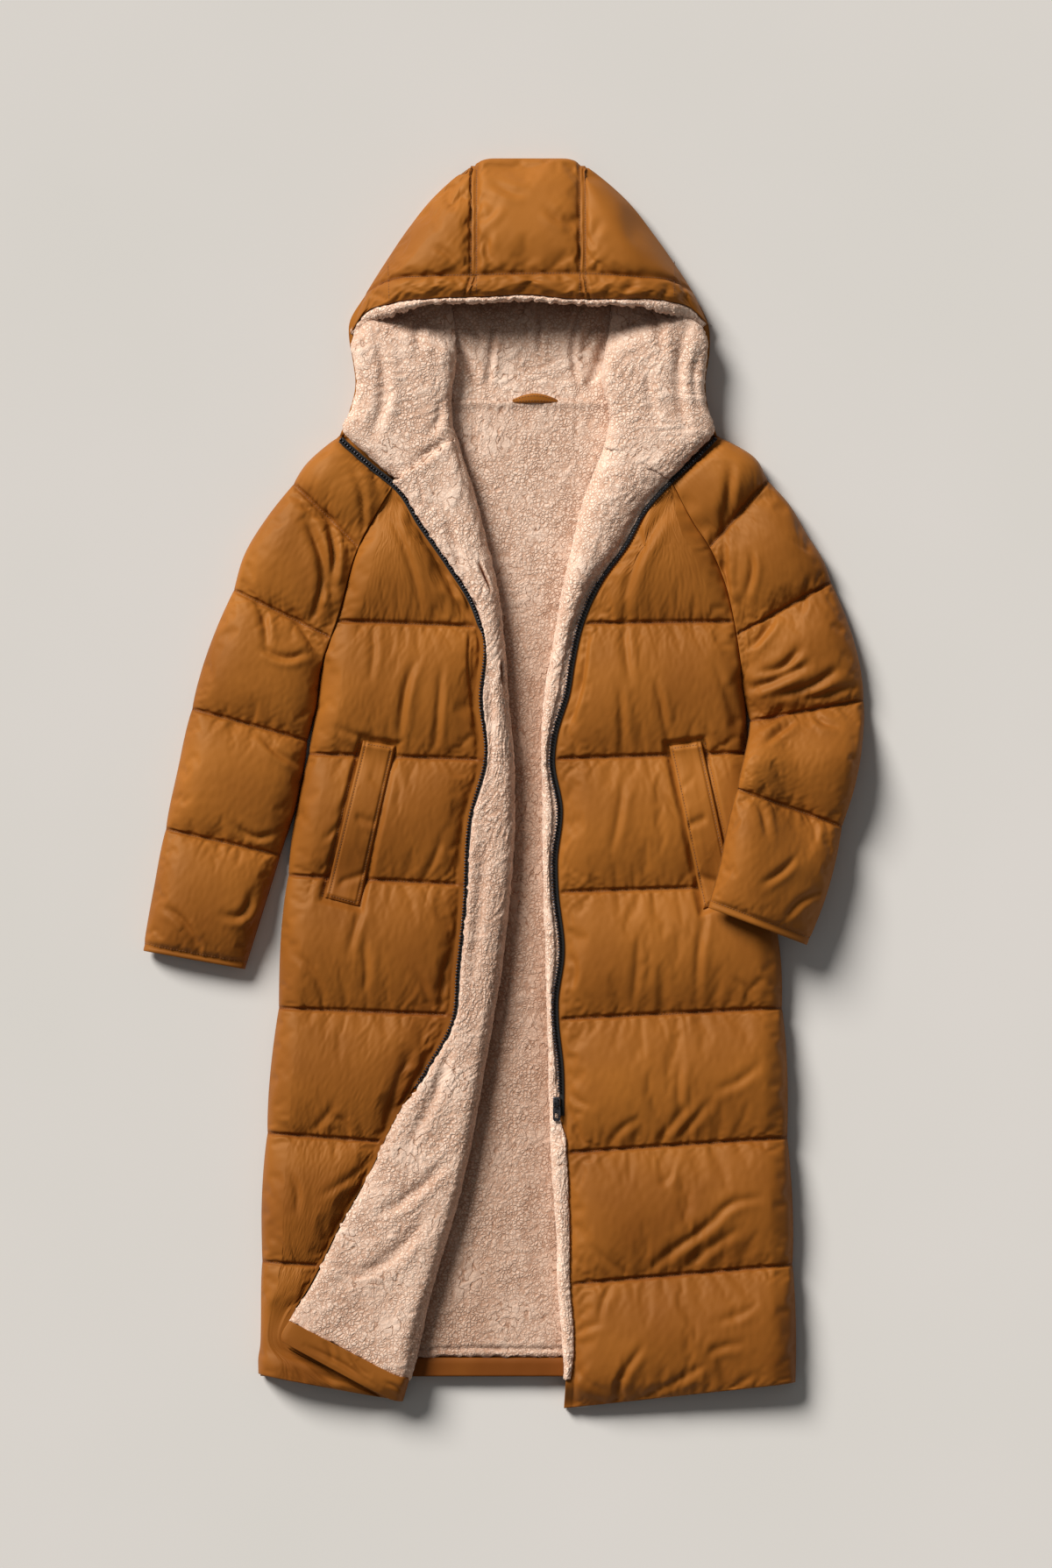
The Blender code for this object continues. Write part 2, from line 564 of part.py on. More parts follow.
def sleeve_section(outer_point, front, back, closed, full, lift):
    """Outer and inner points round a flattened sleeve, from its back seam to its front seam."""
    o, a, b = (np.array(p, dtype=float) for p in (outer_point, front, back))

    def spot(base, c, z):
        x, y = base + (o - base) * c
        return (x, y, z + (lift(x, y) if lift else 0.0))

    crown = SLEEVE_SEAM + SLEEVE_PUFF * full
    seam_top = mix(FRONT_SEAM, crown, 0.15)
    slack = 4.8 if lift else 0.0
    outer = [spot(b, 0.0, (12.2 - 0.4 * slack) * closed), spot(b, 0.05, 4.0 * closed)]
    outer += [spot(b, c, 0.0) for c in (0.12, 0.25, 0.42, 0.6, 0.88)]
    outer += [spot(b, 0.96, 3.0), spot(b, 1.0, SLEEVE_EDGE)]
    for c in (0.97, 0.9, 0.78, 0.6, 0.42, 0.25, 0.1, 0.0):
        round_top = (1 - abs(2 * c - 1) ** 3.0) ** 0.5
        tube = mix(SLEEVE_EDGE, crown, round_top)
        half = mix(SLEEVE_EDGE, crown, quarter_round((1 - c) * 3.2))
        seamed = mix(half, seam_top, smoothstep(1 - c / 0.45))
        outer.append(spot(a, c, mix(seamed, tube if c else 12.6 + 0.4 * slack, closed)))
    start = 0.09 * closed
    inner = [spot(b, start, BACK_THICK - slack)]
    inner += [spot(b, c, BACK_THICK - slack) for c in (0.12, 0.25, 0.42, 0.6, 0.78, 0.86, 0.91)]
    inner.append(spot(b, 0.93, 12.5))
    for c in (0.91, 0.86, 0.78, 0.6, 0.42, 0.25, 0.12, start):
        rise = (FRONT_BASE - 13.2) * (1 - closed) * smoothstep(1 - c / 0.6)
        inner.append(spot(a, c, 13.2 + max(slack * closed, rise)))
    return outer, inner


def sleeve(name, levels, outer_edge, inner_edge, raglan, back_raglan, armpit, underarm_steps, lift):
    """A raglan sleeve laid flat, sewn along its underarm from the armpit to the cuff."""
    outward = 1 if lift else -1
    rows = channel_rows(levels, (NECK_STEPS, DENSE, underarm_steps, STEPS, CUFF_STEPS).__getitem__)
    last = len(rows) - 1
    outer, inner = [], []
    for k, ((y_out, y_front, y_back), full) in enumerate(rows):
        if k < 2:
            full = 0.0
        if k >= last - 1:
            full = CUFF_PUFF * (0.5 if k == last - 1 else 1.0)
        above = y_front > armpit
        front_x = raglan(y_front) + outward * SEAM_GAP if above else inner_edge(y_front)
        back_x = back_raglan(y_back) + outward * SEAM_GAP if above else front_x
        closed = smoothstep((armpit + 2.0 - y_front) / 34.0)
        out, into = sleeve_section((outer_edge(y_out), y_out), (front_x, y_front),
                                   (back_x, y_back if above else y_front), closed, full, lift)
        outer.append(out)
        inner.append(into)
    keys = None if lift else (0, 6, 12, 13, 14, 15, 18, 23)
    return closed_wall(name, outer, inner, SHELL, keys)


def over_body(x, y):
    """How far the left sleeve is lifted where its forearm lies over the side of the body."""
    inside = SIDE_L(y) - x
    ramp = smoothstep((95.0 - y) / 75.0)
    return 47.0 * smoothstep((inside + 32.0) / 46.0) * ramp


def hood_height(x, y):
    """The top of the hood shell above the floor: a dome that rises from its outline to the brim."""
    middle = 30.5
    side = HOOD_R(y) if x < middle else HOOD_L(y)
    across = min(max((x - side) / (middle - side), 0.0), 1.0)
    down = min(max((CENTRE_STRIP_TOP - y) / (CENTRE_STRIP_TOP - 580.0), 0.0), 1.0)
    rise = (1 - (1 - across) ** 8) * (1 - (1 - down) ** 2.2)
    return HOOD_EDGE_TOP + (HOOD_TOP - HOOD_EDGE_TOP) * rise


def hood_panel(name, levels, left_of, right_of, marks, edge_left, edge_right):
    """One panel of the hood's upper side, between its outline or centre seams and the band seam."""
    outer, inner = [], []
    for k, y in enumerate(levels):
        last = k == len(levels) - 1
        left, right = left_of(y), right_of(y)
        out, into = [], []
        for t in marks:
            x = mix(left, right, t)
            y_here = BAND_LINE(x) + SEAM_GAP if last else y
            z = hood_height(x, y_here)
            base = max(z - HOOD_WALL, LINING_BASE)
            to_seam = min(x - left if not edge_left else 99.0, right - x if not edge_right else 99.0)
            z -= HOOD_SEAM_DIP * math.exp(-(to_seam / HOOD_SEAM_WIDTH) ** 2)
            if last:
                z -= HOOD_SEAM_DIP * 0.6
            rim = (t == marks[0] and edge_left) or (t == marks[-1] and edge_right)
            if k == 0:
                z -= 2.0
            out.append((x, y_here, max(z - (5.0 if rim else 0.0), base + 3.0)))
            into.append((x, y_here, base))
        outer.append(out)
        inner.append(into)
    return closed_wall(name, outer, inner, SHELL)


def hood():
    """The hood's upper panels and band, its back on the floor, and its turned-back sides."""
    down = [749.7, 738.0, 722.0, 700.0, 672.0, 640.0, 606.0]
    gap = SEAM_GAP
    centre_marks = (0, 0.07, 0.2, 0.5, 0.8, 0.93, 1)
    hood_panel("hood_centre", down, lambda y: CENTRE_STRIP_RIGHT + gap,
               lambda y: CENTRE_STRIP_LEFT - gap, centre_marks, False, False)
    side_down = [739.0, 728.0, 706.0, 680.0, 650.0, 620.0, 600.0]
    marks = (0, 0.05, 0.13, 0.3, 0.5, 0.72, 0.88, 1)
    hood_panel("hood_right", side_down, HOOD_R, lambda y: CENTRE_STRIP_RIGHT - gap, marks, True, False)
    back_marks = tuple(1 - t for t in reversed(marks))
    hood_panel("hood_left", [738.0] + side_down[1:], lambda y: CENTRE_STRIP_LEFT + gap, HOOD_L,
               back_marks, False, True)
    band_xs = [mix(HOOD_R(600.0), CENTRE_STRIP_RIGHT, t) for t in marks[:-1]]
    band_xs += [mix(CENTRE_STRIP_RIGHT, CENTRE_STRIP_LEFT, t) for t in centre_marks]
    band_xs += [mix(CENTRE_STRIP_LEFT, HOOD_L(600.0), t) for t in back_marks[1:]]
    hood_band(band_xs)
    hood_back()
    hood_linings()


def hood_band(seam_xs):
    """The band round the brim, and the fleece that lines it."""
    first, last = BAND_SEAM[0][1], BAND_SEAM[-1][1]
    outer, inner = [], []
    for a in [first] + seam_xs + [last]:
        b = mix(BRIM[0][1], BRIM[-1][1], (a - first) / (last - first))
        start = np.array((a, BAND_LINE(a) - SEAM_GAP))
        end = np.array((b, BRIM_LINE(b)))
        out, into = [], []
        for t, dip in ((0.0, 2.4), (0.3, 0.0), (0.7, 0.0), (0.95, 2.5), (1.0, 7.0)):
            x, y = start + (end - start) * t
            z = hood_height(x, y)
            base = max(z - HOOD_WALL, LINING_BASE)
            out.append((x, y, max(z - dip, base + 3.0)))
            into.append((x, y, base))
        outer.append(out)
        inner.append(into)
    closed_wall("hood_band", outer, inner, SHELL)
    outer, inner = [], []
    for x in np.linspace(-140.0, 200.0, 19):
        out, into = [], []
        for shift, thin in ((3.0, 2.0), (0.0, 0.0), (-10.0, 0.0), (-20.0, 2.0)):
            y = BRIM_LINE(x) - shift
            top = hood_height(x, y) - HOOD_WALL - 1.8
            out.append((x, y, top - (2.0 if shift == 3.0 else 0.0)))
            into.append((x, y, top - 6.0 + thin))
        outer.append(out)
        inner.append(into)
    closed_wall("hood_brim_lining", outer, inner, FLEECE)


def hood_back():
    """The part of the hood that lies on the floor, from its outline to the neck seam."""
    levels = (748.5, 738.0, 722.0, 700.0, 672.0, 640.0, 606.0, 575.0, 548.0, 525.0, 500.0, 475.0,
              447.0, 418.5)
    marks = (0, 0.03, 0.1, 0.2157, 0.3039, 0.5, 0.7076, 0.8073, 0.9, 0.97, 1)
    top_y, low_y = levels[0], levels[-1]
    outer, inner = [], []
    for y in levels:
        left = HOOD_R(y) if y < 740 else CENTRE_STRIP_RIGHT
        right = HOOD_L(y)
        out, into = [], []
        for j, t in enumerate(marks):
            x = mix(left, right, t)
            low_here = NECK_LINE(mix(HOOD_R(low_y), HOOD_L(low_y), t)) + SEAM_GAP
            y_here = top_y - (top_y - y) * (top_y - low_here) / (top_y - low_y)
            rim = j in (0, len(marks) - 1) or y == top_y
            out.append((x, y_here, BACK_THICK - (3.0 if rim else 0.0)))
            shift = (right - left) * (0.015 if j == 0 else -0.015 if j == len(marks) - 1 else 0.0)
            lift = -4.0 if y == top_y else 2.6 if y == low_y and shift else 0.0
            into.append((x + shift, y_here + lift, 0.0))
        outer.append(out)
        inner.append(into)
    return closed_wall("hood_back", outer, inner, SHELL)


# Rows of each turned-back hood side: its outer point, its fold point, both x, y, and how high it lies.
TURNBACK_RIGHT = (
    ("under brim", -120.0, 600.0, -66.0, 600.0, 0.5),
    ("brim", -134.0, 569.0, -62.0, 576.0, 0.75),
    ("temple", -172.0, 550.0, -57.5, 545.0, 0.9),
    ("cheek", -182.5, 528.0, -55.7, 515.6, 1.0),
    ("jaw", -179.5, 505.0, -57.5, 496.0, 1.0),
    ("throat", -176.5, 477.8, -59.9, 476.7, 1.0),
    ("collar", -183.5, 447.3, -61.5, 455.0, 1.0),
    ("point", -192.0, 421.0, -60.9, 436.8, 1.0),
    ("zip", -153.5, 384.5, -58.5, 425.0, 1.0),
    ("neck seam", -127.0, 362.2, -55.1, 413.9, 1.0),
)
TURNBACK_LEFT = (
    ("under brim", 182.0, 600.0, 133.0, 600.0, 0.5),
    ("brim", 196.0, 571.0, 130.0, 575.0, 0.75),
    ("temple", 234.0, 552.0, 127.0, 548.0, 0.9),
    ("cheek", 245.5, 528.0, 122.9, 524.0, 1.0),
    ("jaw", 243.5, 505.0, 119.0, 503.0, 1.0),
    ("throat", 241.6, 477.8, 116.6, 487.2, 1.0),
    ("collar", 243.7, 456.8, 121.5, 465.0, 1.0),
    ("point", 253.5, 421.5, 126.0, 447.3, 1.0),
    ("zip", 230.0, 394.5, 127.1, 434.7, 1.0),
    ("neck seam", 200.0, 364.4, 119.7, 403.8, 1.0),
)


def hood_linings():
    """The fleece inside the hood, and its two sides folded back over their padding."""
    outer, inner = [], []
    for y in (680.0, 640.0, 600.0, 560.0, 524.0, 500.0, 478.0, 461.0):
        left, right = TURN_FOLD_R(y) - 6.0, TURN_FOLD_L(y) + 6.0
        xs = [left, TURN_FOLD_R(y) + 1.0, 30.0, TURN_FOLD_L(y) - 1.0, right]
        if y == 461.0:
            xs = [left, -58.8, 30.0, 123.9, right]
        out = [(x, NECK_LINE(x) + 1.0 if y == 461.0 else y, LINING_TOP) for x in xs]
        outer.append(out)
        inner.append([(x, py, LINING_BASE) for x, py, _ in out])
    closed_wall("hood_lining_centre", outer, inner, FLEECE)
    for side, table in (("right", TURNBACK_RIGHT), ("left", TURNBACK_LEFT)):
        turnback(side, table)


def turnback(side, table):
    """One side of the hood folded back: rounded padding with the fleece over it."""
    pad_out, pad_in, fur_out, fur_in = [], [], [], []
    for k, (_, ox, oy, fx, fy, high) in enumerate(table):
        row = Line((ox, oy), (fx, fy))
        shell_fold = row.length - FLEECE_THICK - 0.9
        base = LINING_BASE + 0.3 if k < 7 else FRONT_BASE + 0.3
        low = LINING_TOP + 0.4

        def capped(s, z, room):
            x, y, _ = row.at(s, 0)
            if y > BRIM_LINE(x) - 6.0:
                z = min(z, hood_height(x, y) - HOOD_WALL - room)
            return (x, y, max(z, low + 2.0))

        pad = TURNBACK_TOP * high + FRONT_BASE * (1 - high)
        fur = pad + SEAM_GAP + FLEECE_THICK
        pad_out.append([capped(4.0, pad - 10, 14.6), capped(12.0, pad - 1, 14.6),
                        capped(0.35 * shell_fold, pad + 1, 14.6), capped(0.7 * shell_fold, pad + 1, 14.6),
                        capped(shell_fold - 7, pad - 1, 14.6), capped(shell_fold, pad - 8, 14.6)])
        stations = (4.5, 12.0, 0.35 * shell_fold, 0.7 * shell_fold, shell_fold - 7, shell_fold - 0.5)
        pad_in.append([row.at(s, base) for s in stations])
        fur_out.append([capped(0.0, pad - 7, 8.0), capped(2.0, pad, 7.6), capped(11.0, fur - 1, 7.4),
                        capped(0.35 * row.length, fur + 1, 7.4), capped(0.7 * row.length, fur + 1, 7.4),
                        capped(row.length - 9, fur - 1, 7.4), capped(row.length - 1.5, fur - 9, 8.0),
                        row.at(row.length, max(min(pad - 10, low + 6), low + 1.5)), row.at(row.length - 0.5, low)])
        lift = 0.8
        fur_in.append([capped(2.5, pad - 10 + lift, 14.0), capped(3.0, pad - 8 + lift, 13.8),
                       capped(11.5, pad + lift, 13.6),
                       capped(0.35 * shell_fold, pad + 1 + lift, 13.6),
                       capped(0.7 * shell_fold, pad + 1 + lift, 13.6),
                       capped(shell_fold - 6.6, pad - 1 + lift, 13.6), capped(shell_fold + 0.7, pad - 8, 13.8),
                       row.at(shell_fold + 0.9, low + 1.4), row.at(shell_fold + 0.9, low)])
    closed_wall("hood_%s_turnback" % side, pad_out, pad_in, SHELL)
    closed_wall("hood_lining_%s" % side, fur_out, fur_in, FLEECE)


def zip_tape(name, line, top_y, end_y, inner_side, tape_side, hood_sides):
    """A zip tape with its row of teeth, flat on the front along its edge."""
    ys = np.linspace(top_y, end_y, 46)
    spots = np.array([(line(y), y) for y in ys])
    ways = np.gradient(spots, axis=0)
    ways /= np.linalg.norm(ways, axis=1)[:, None]
    base = FRONT_SEAM + SEAM_GAP
    outer, inner = [], []
    for (x, y), (wx, wy) in zip(spots, ways):
        across = np.array((-wy, wx))
        sides = hood_sides if y > 353.0 else (inner_side, tape_side)
        low, high = (np.array((x, y)) + across * s for s in sides)
        outer.append([(*low, base + TAPE_THICK), (*high, base + TAPE_THICK)])
        inner.append([(*low, base), (*high, base)])
    return closed_wall(name, outer, inner, TAPE)


def welt(name, panel, corners):
    """A pocket welt stitched on a front: a strip over the panel's own points, moved out."""
    tree = BVHTree.FromObject(panel, bpy.context.evaluated_depsgraph_get())
    a, b, c, d = (np.array(p) for p in corners)
    outer, inner = [], []
    for t in np.linspace(0, 1, 15):
        out, into = [], []
        for j, u in enumerate((0.0, 0.08, 0.36, 0.64, 0.92, 1.0)):
            x, y = mix(mix(a, d, t), mix(b, c, t), u)
            hit = tree.ray_cast(Vector((x, y, 200.0)) * MM, Vector((0, 0, -1)))[0]
            z = hit.z / MM + 0.8
            edge = 2.2 if j in (0, 5) or t in (0.0, 1.0) else 4.2
            out.append((x, y, z + edge))
            into.append((x, y, z))
        outer.append(out)
        inner.append(into)
    return closed_wall(name, outer, inner, SHELL)


def hanger_loop():
    """The strap of shell cloth at the back of the neck, sewn down at both ends."""
    outer, inner = [], []
    for t in np.linspace(0, 1, 9):
        x = mix(10.5, 67.2, t)
        bow = math.sin(math.pi * t)
        y = 456.5 + 8.5 * bow
        z = LINING_TOP + 0.5 + 3.5 * bow
        outer.append([(x, y - 3.5, z + 1.6), (x, y + 3.5, z + 1.6)])
        inner.append([(x, y - 3.5, z), (x, y + 3.5, z)])
    return closed_wall("hanger_loop", outer, inner, SHELL)


# The zip's slider and pull tab, on the left tape.
SLIDER_X = 64.0
SLIDER_Y = -381.0
SLIDER_BASE = FRONT_SEAM + SEAM_GAP + TAPE_THICK + SEAM_GAP
SLIDER_BODY = (9.0, 12.0, 3.0)
BRIDGE_WIDTH = 1.7
BRIDGE_SPAN = 8.4
BRIDGE_ROOM = 2.9
BRIDGE_THICK = 1.2
TAB_LENGTH = 23.0
TAB_WIDTH = 9.0
TAB_THICK = 1.4
TAB_TILT = 5.0
PIVOT_Z = SLIDER_BASE + SLIDER_BODY[2] + BRIDGE_ROOM / 2


def slider():
    """The slider body with a bridge over it, under which the pull tab's bar turns."""
    bpy.ops.mesh.primitive_cube_add(size=1)
    body = bpy.context.object
    body.name = "slider_body"
    body.data.transform(scale_move(SLIDER_BODY, (SLIDER_X, SLIDER_Y, SLIDER_BASE + SLIDER_BODY[2] / 2)))
    bpy.ops.mesh.primitive_cube_add(size=1)
    bridge = bpy.context.object
    height = BRIDGE_ROOM + BRIDGE_THICK + 1
    top = SLIDER_BASE + SLIDER_BODY[2]
    bridge.data.transform(scale_move((BRIDGE_WIDTH, BRIDGE_SPAN, height),
                                     (SLIDER_X, SLIDER_Y, top - 1 + height / 2)))
    bpy.ops.mesh.primitive_cube_add(size=1)
    room = bpy.context.object
    room.data.transform(scale_move((9.0, BRIDGE_SPAN - 2 * BRIDGE_THICK, BRIDGE_ROOM),
                                   (SLIDER_X, SLIDER_Y, top + BRIDGE_ROOM / 2)))
    for helper in (bridge, room):
        helper.hide_render = True
        helper.display_type = "WIRE"
        for owner in list(helper.users_collection):
            owner.objects.unlink(helper)
        bpy.data.collections["cutters"].objects.link(helper)
    soften = body.modifiers.new("rounded corners", "BEVEL")
    soften.width = 1.4 * MM
    soften.segments = 3
    soften.affect = "EDGES"
    cut = bridge.modifiers.new("room under the bridge", "BOOLEAN")
    cut.object = room
    cut.operation = "DIFFERENCE"
    join = body.modifiers.new("bridge", "BOOLEAN")
    join.object = bridge
    join.operation = "UNION"
    piece = body
    for owner in list(piece.users_collection):
        owner.objects.unlink(piece)
    bpy.data.collections["long_puffer_coat"].objects.link(piece)
    piece.name = "zip_slider"
    own = material(METAL).copy()
    own.name = "zip_slider"
    piece.data.materials.append(own)


def scale_move(size, centre):
    """A matrix that gives a unit cube its size and place, from millimetres."""
    from mathutils import Matrix
    matrix = Matrix.Diagonal((size[0] * MM, size[1] * MM, size[2] * MM, 1.0))
    matrix.translation = Vector(centre) * MM
    return matrix


def pull_tab():
    """The flat tab, whose bar lies under the slider's bridge; its origin is on the bar."""
    outline = bpy.data.curves.new("pull_tab", "CURVE")
    outline.dimensions = "2D"
    outline.fill_mode = "BOTH"
    outline.extrude = 0.5 * TAB_THICK * MM
    half = TAB_WIDTH / 2
    bar = 0.7
    rings = (
        [(-2.6, bar), (2.6, bar), (3.2, -3.5), (half, -8.0), (half, -TAB_LENGTH + 2),
         (half - 1.5, -TAB_LENGTH), (1.5 - half, -TAB_LENGTH), (-half, -TAB_LENGTH + 2),
         (-half, -8.0), (-3.2, -3.5)],
        [(-1.5, -bar), (1.5, -bar), (1.5, -6.2), (-1.5, -6.2)],
        [(-2.1, -14.0), (2.1, -14.0), (2.1, -19.5), (-2.1, -19.5)],
    )
    for ring in rings:
        spline = outline.splines.new("POLY")
        spline.points.add(len(ring) - 1)
        for point, (x, y) in zip(spline.points, ring):
            point.co = (x * MM, y * MM, 0.0, 1.0)
        spline.use_cyclic_u = True
    flat = bpy.data.objects.new("outline", outline)
    bpy.context.scene.collection.objects.link(flat)
    bpy.context.view_layer.update()
    mesh = bpy.data.meshes.new_from_object(flat.evaluated_get(bpy.context.evaluated_depsgraph_get()))
    bpy.data.objects.remove(flat)
    bm = bmesh.new()
    bm.from_mesh(mesh)
    bmesh.ops.remove_doubles(bm, verts=bm.verts, dist=0.00001)
    bmesh.ops.recalc_face_normals(bm, faces=bm.faces)
    bm.to_mesh(mesh)
    bm.free()
    mesh.materials.clear()
    piece = place("pull_tab", mesh, METAL)
    piece.location = Vector((SLIDER_X, SLIDER_Y, PIVOT_Z)) * MM
    piece.rotation_euler.x = math.radians(TAB_TILT)


def build():
    for item in list(bpy.data.objects):
        bpy.data.objects.remove(item)
    for name in ("long_puffer_coat", "cutters"):
        bpy.context.scene.collection.children.link(bpy.data.collections.new(name))
    back_panel()
    back_lining()
    right = right_front()
    right_lapel_layers()
    left = left_front()
    left_front_facing()
    sleeve("right_sleeve", RIGHT_SLEEVE_LEVELS, curve(RIGHT_SLEEVE_OUTER), curve(RIGHT_SLEEVE_INNER),
           RAGLAN_R, BACK_RAGLAN_R, RIGHT_RAGLAN[-1][1], RIGHT_UNDERARM_STEPS, None)
    sleeve("left_sleeve", LEFT_SLEEVE_LEVELS, curve(LEFT_SLEEVE_OUTER), curve(LEFT_SLEEVE_INNER),
           RAGLAN_L, BACK_RAGLAN_L, LEFT_RAGLAN[-1][1], LEFT_UNDERARM_STEPS, over_body)
    hood()
    zip_tape("right_zip_tape", EDGE_R, 415.0, -367.0, -5.5, 5.0, (-5.5, 1.0))
    zip_tape("left_zip_tape", ZIP_L, 415.0, -400.0, -2.2, 6.5, (-1.0, 6.5))
    welt("right_pocket_welt", right, ((-167.5, 51.5), (-129.2, 45.1), (-172.2, -147.0), (-213.2, -136.5)))
    welt("left_pocket_welt", left, ((198.5, 45.1), (237.0, 50.5), (277.0, -136.5), (239.4, -150.2)))
    hanger_loop()
    slider()
    pull_tab()


RAGLAN_R, SIDE_R, EDGE_R, FOLD_R = (curve(t) for t in (RIGHT_RAGLAN, RIGHT_SIDE, RIGHT_EDGE, RIGHT_FOLD))
RAGLAN_L, SIDE_L, ZIP_L, FOLD_L = (curve(t) for t in (LEFT_RAGLAN, LEFT_SIDE, LEFT_ZIP, LEFT_FOLD))
BACK_RAGLAN_R, BACK_RAGLAN_L = curve(RIGHT_BACK_RAGLAN), curve(LEFT_BACK_RAGLAN)
HOOD_R, HOOD_L = curve(HOOD_RIGHT_SIDE), curve(HOOD_LEFT_SIDE)
BRIM_LINE, BAND_LINE, NECK_LINE = curve(BRIM), curve(BAND_SEAM), curve(NECK, linear=True)
TURN_FOLD_R, TURN_FOLD_L = (curve([row[3:5] for row in t]) for t in (TURNBACK_RIGHT, TURNBACK_LEFT))

build()
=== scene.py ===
import math

import bpy
import numpy as np
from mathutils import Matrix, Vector
from mathutils.bvhtree import BVHTree
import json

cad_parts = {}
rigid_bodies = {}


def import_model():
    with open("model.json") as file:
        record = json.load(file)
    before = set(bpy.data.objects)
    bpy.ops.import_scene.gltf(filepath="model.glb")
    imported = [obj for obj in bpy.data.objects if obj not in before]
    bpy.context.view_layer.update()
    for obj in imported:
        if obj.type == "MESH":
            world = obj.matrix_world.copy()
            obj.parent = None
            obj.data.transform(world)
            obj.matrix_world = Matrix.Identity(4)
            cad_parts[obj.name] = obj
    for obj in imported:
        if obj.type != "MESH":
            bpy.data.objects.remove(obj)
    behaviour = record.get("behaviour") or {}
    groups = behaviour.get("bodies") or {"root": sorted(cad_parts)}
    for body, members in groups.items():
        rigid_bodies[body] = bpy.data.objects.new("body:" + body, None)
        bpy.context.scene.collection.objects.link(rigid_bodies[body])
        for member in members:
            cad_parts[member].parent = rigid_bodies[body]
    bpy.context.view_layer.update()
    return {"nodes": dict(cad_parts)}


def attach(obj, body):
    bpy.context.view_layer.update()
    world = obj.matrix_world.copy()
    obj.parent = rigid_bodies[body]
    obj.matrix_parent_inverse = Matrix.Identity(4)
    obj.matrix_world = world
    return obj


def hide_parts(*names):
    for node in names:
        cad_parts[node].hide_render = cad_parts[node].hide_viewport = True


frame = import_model()
nodes = frame["nodes"]

unit = 0.001  # every table below is in millimetres, from the hood (+y) down to the hem
seamGap = 0.3
backThick = 12.0
liningBase = 12.3
liningTop = 19.0
frontBase = 19.6
frontSeam = 30.0
flapBase = 32.3
flapTop = 40.0
fleeceThick = 6.7
fleeceTop = 47.0
foldWall = 9.7
backHem = -711.0
sliderY = -381.0

rightRaglan = ((-131.2, 358.1), (-173.2, 283.5), (-198.5, 197.4), (-213.2, 156.5))
rightSide = ((-213.2, 156.5), (-220, 98.7), (-232.5, 35.7), (-257.2, -110), (-268.8, -269),
              (-282.4, -419), (-288.8, -573), (-291.9, -708))
rightEdge = ((-196.9, 416.9), (-156.5, 381.2), (-128.1, 358.1), (-96.6, 310.8), (-65.1, 265.7),
              (-34.6, 216.3), (-22.1, 177.5), (-26.2, 98.7), (-19.9, 35.7), (-38.9, -41),
              (-46.2, -153), (-53.6, -222.6), (-60.9, -287.7), (-91.4, -343.4), (-130.2, -410.6),
              (-154.3, -463), (-192.2, -532.4), (-232.1, -611), (-251, -640), (-261.4, -669),
              (-199.5, -705.6), (-125, -744.5))
rightFold = ((-72.5, 592.2), (-55.7, 515.6), (-59.9, 476.7), (-60.9, 436.8), (-54.6, 412.7),
              (-34.6, 347.6), (-5.2, 231), (6.3, 109.2), (14.7, 12.6), (10.5, -115.5),
              (0, -216.3), (-19.9, -330.8), (-46.2, -473.6), (-85, -608), (-105, -697.2),
              (-117.6, -741.3))
leftRaglan = ((201.6, 362.2), (226.8, 314), (246.8, 283.5), (263.6, 245.7), (277.2, 191),
               (284.6, 143.8))
leftSide = ((284.6, 143.8), (287.7, 98.7), (294, 35.7), (308.7, -58.8), (321.3, -153.3),
             (328.7, -200.6), (333.9, -269), (340.2, -424.2), (346.5, -576.5), (348.6, -718))
leftZip = ((257.2, 416.9), (233.1, 391.7), (201.6, 362.2), (173.2, 331.8), (144.9, 282.4),
            (119.7, 247.8), (95.5, 197.4), (83, 146), (77.7, 111.3), (62, 57.8), (58.8, 29.4),
            (68.2, -30.5), (62, -94.5), (63, -127.1), (70.4, -201.6), (63, -262.5),
            (63.5, -284.6), (69.3, -340.2), (70.4, -400.1), (72.5, -440), (76.7, -534.5),
            (76.7, -600.6), (80.9, -656.2), (79.8, -711.9), (77.7, -749.7))
leftFold = ((132.3, 592.2), (122.9, 524), (116.6, 487.2), (126, 447.3), (127.1, 434.7),
             (119.7, 403.2), (104.5, 364.4), (91.4, 323.4), (72.5, 241.5), (59.9, 167),
             (52.5, 130.2), (45.1, 55.7), (46.2, -30.5), (48.3, -137.6), (53.6, -306.6),
             (56.7, -440), (63, -534.5), (65.1, -600.6), (70.4, -666.8), (72.5, -711.9),
             (70.5, -749.7))
rightBackRaglan = ((-98.7, 449.4), (-213.2, 156.5))
leftBackRaglan = ((169, 449.4), (284.6, 143.8))
rightSleeveOuter = ((-196.9, 416.9), (-233.1, 383.2), (-250.4, 360.2), (-280.4, 319.2),
                      (-306.6, 276.2), (-322.4, 233.1), (-340.2, 188), (-355.4, 146),
                      (-371.7, 93.5), (-387.4, 14.7), (-404.2, -54.6), (-415.8, -126),
                      (-431.5, -200.6))
rightSleeveInner = ((-213.8, 156), (-221, 134.4), (-225.5, 98.7), (-235, 51.5),
                      (-249.9, -21), (-266.7, -84), (-292.9, -169.1), (-309.8, -222.6))
leftSleeveOuter = ((257.2, 416.9), (295.1, 393.8), (314.5, 366.4), (338.1, 338.1), (363.3, 295.1),
                     (379.1, 271.9), (392.7, 241.5), (410.6, 192.2), (426.3, 134.4), (431.5, 99.8),
                     (427.4, 49.4), (416.9, -8.4), (405.3, -51.5), (395.9, -90.3), (383.2, -135.5),
                     (363.3, -193.2))
leftSleeveInner = ((285.4, 143), (291.5, 98.7), (296.5, 62), (290.9, 29.4), (280.4, -6.3),
                     (269.9, -51.5), (260.4, -90.3), (244.7, -148.1))
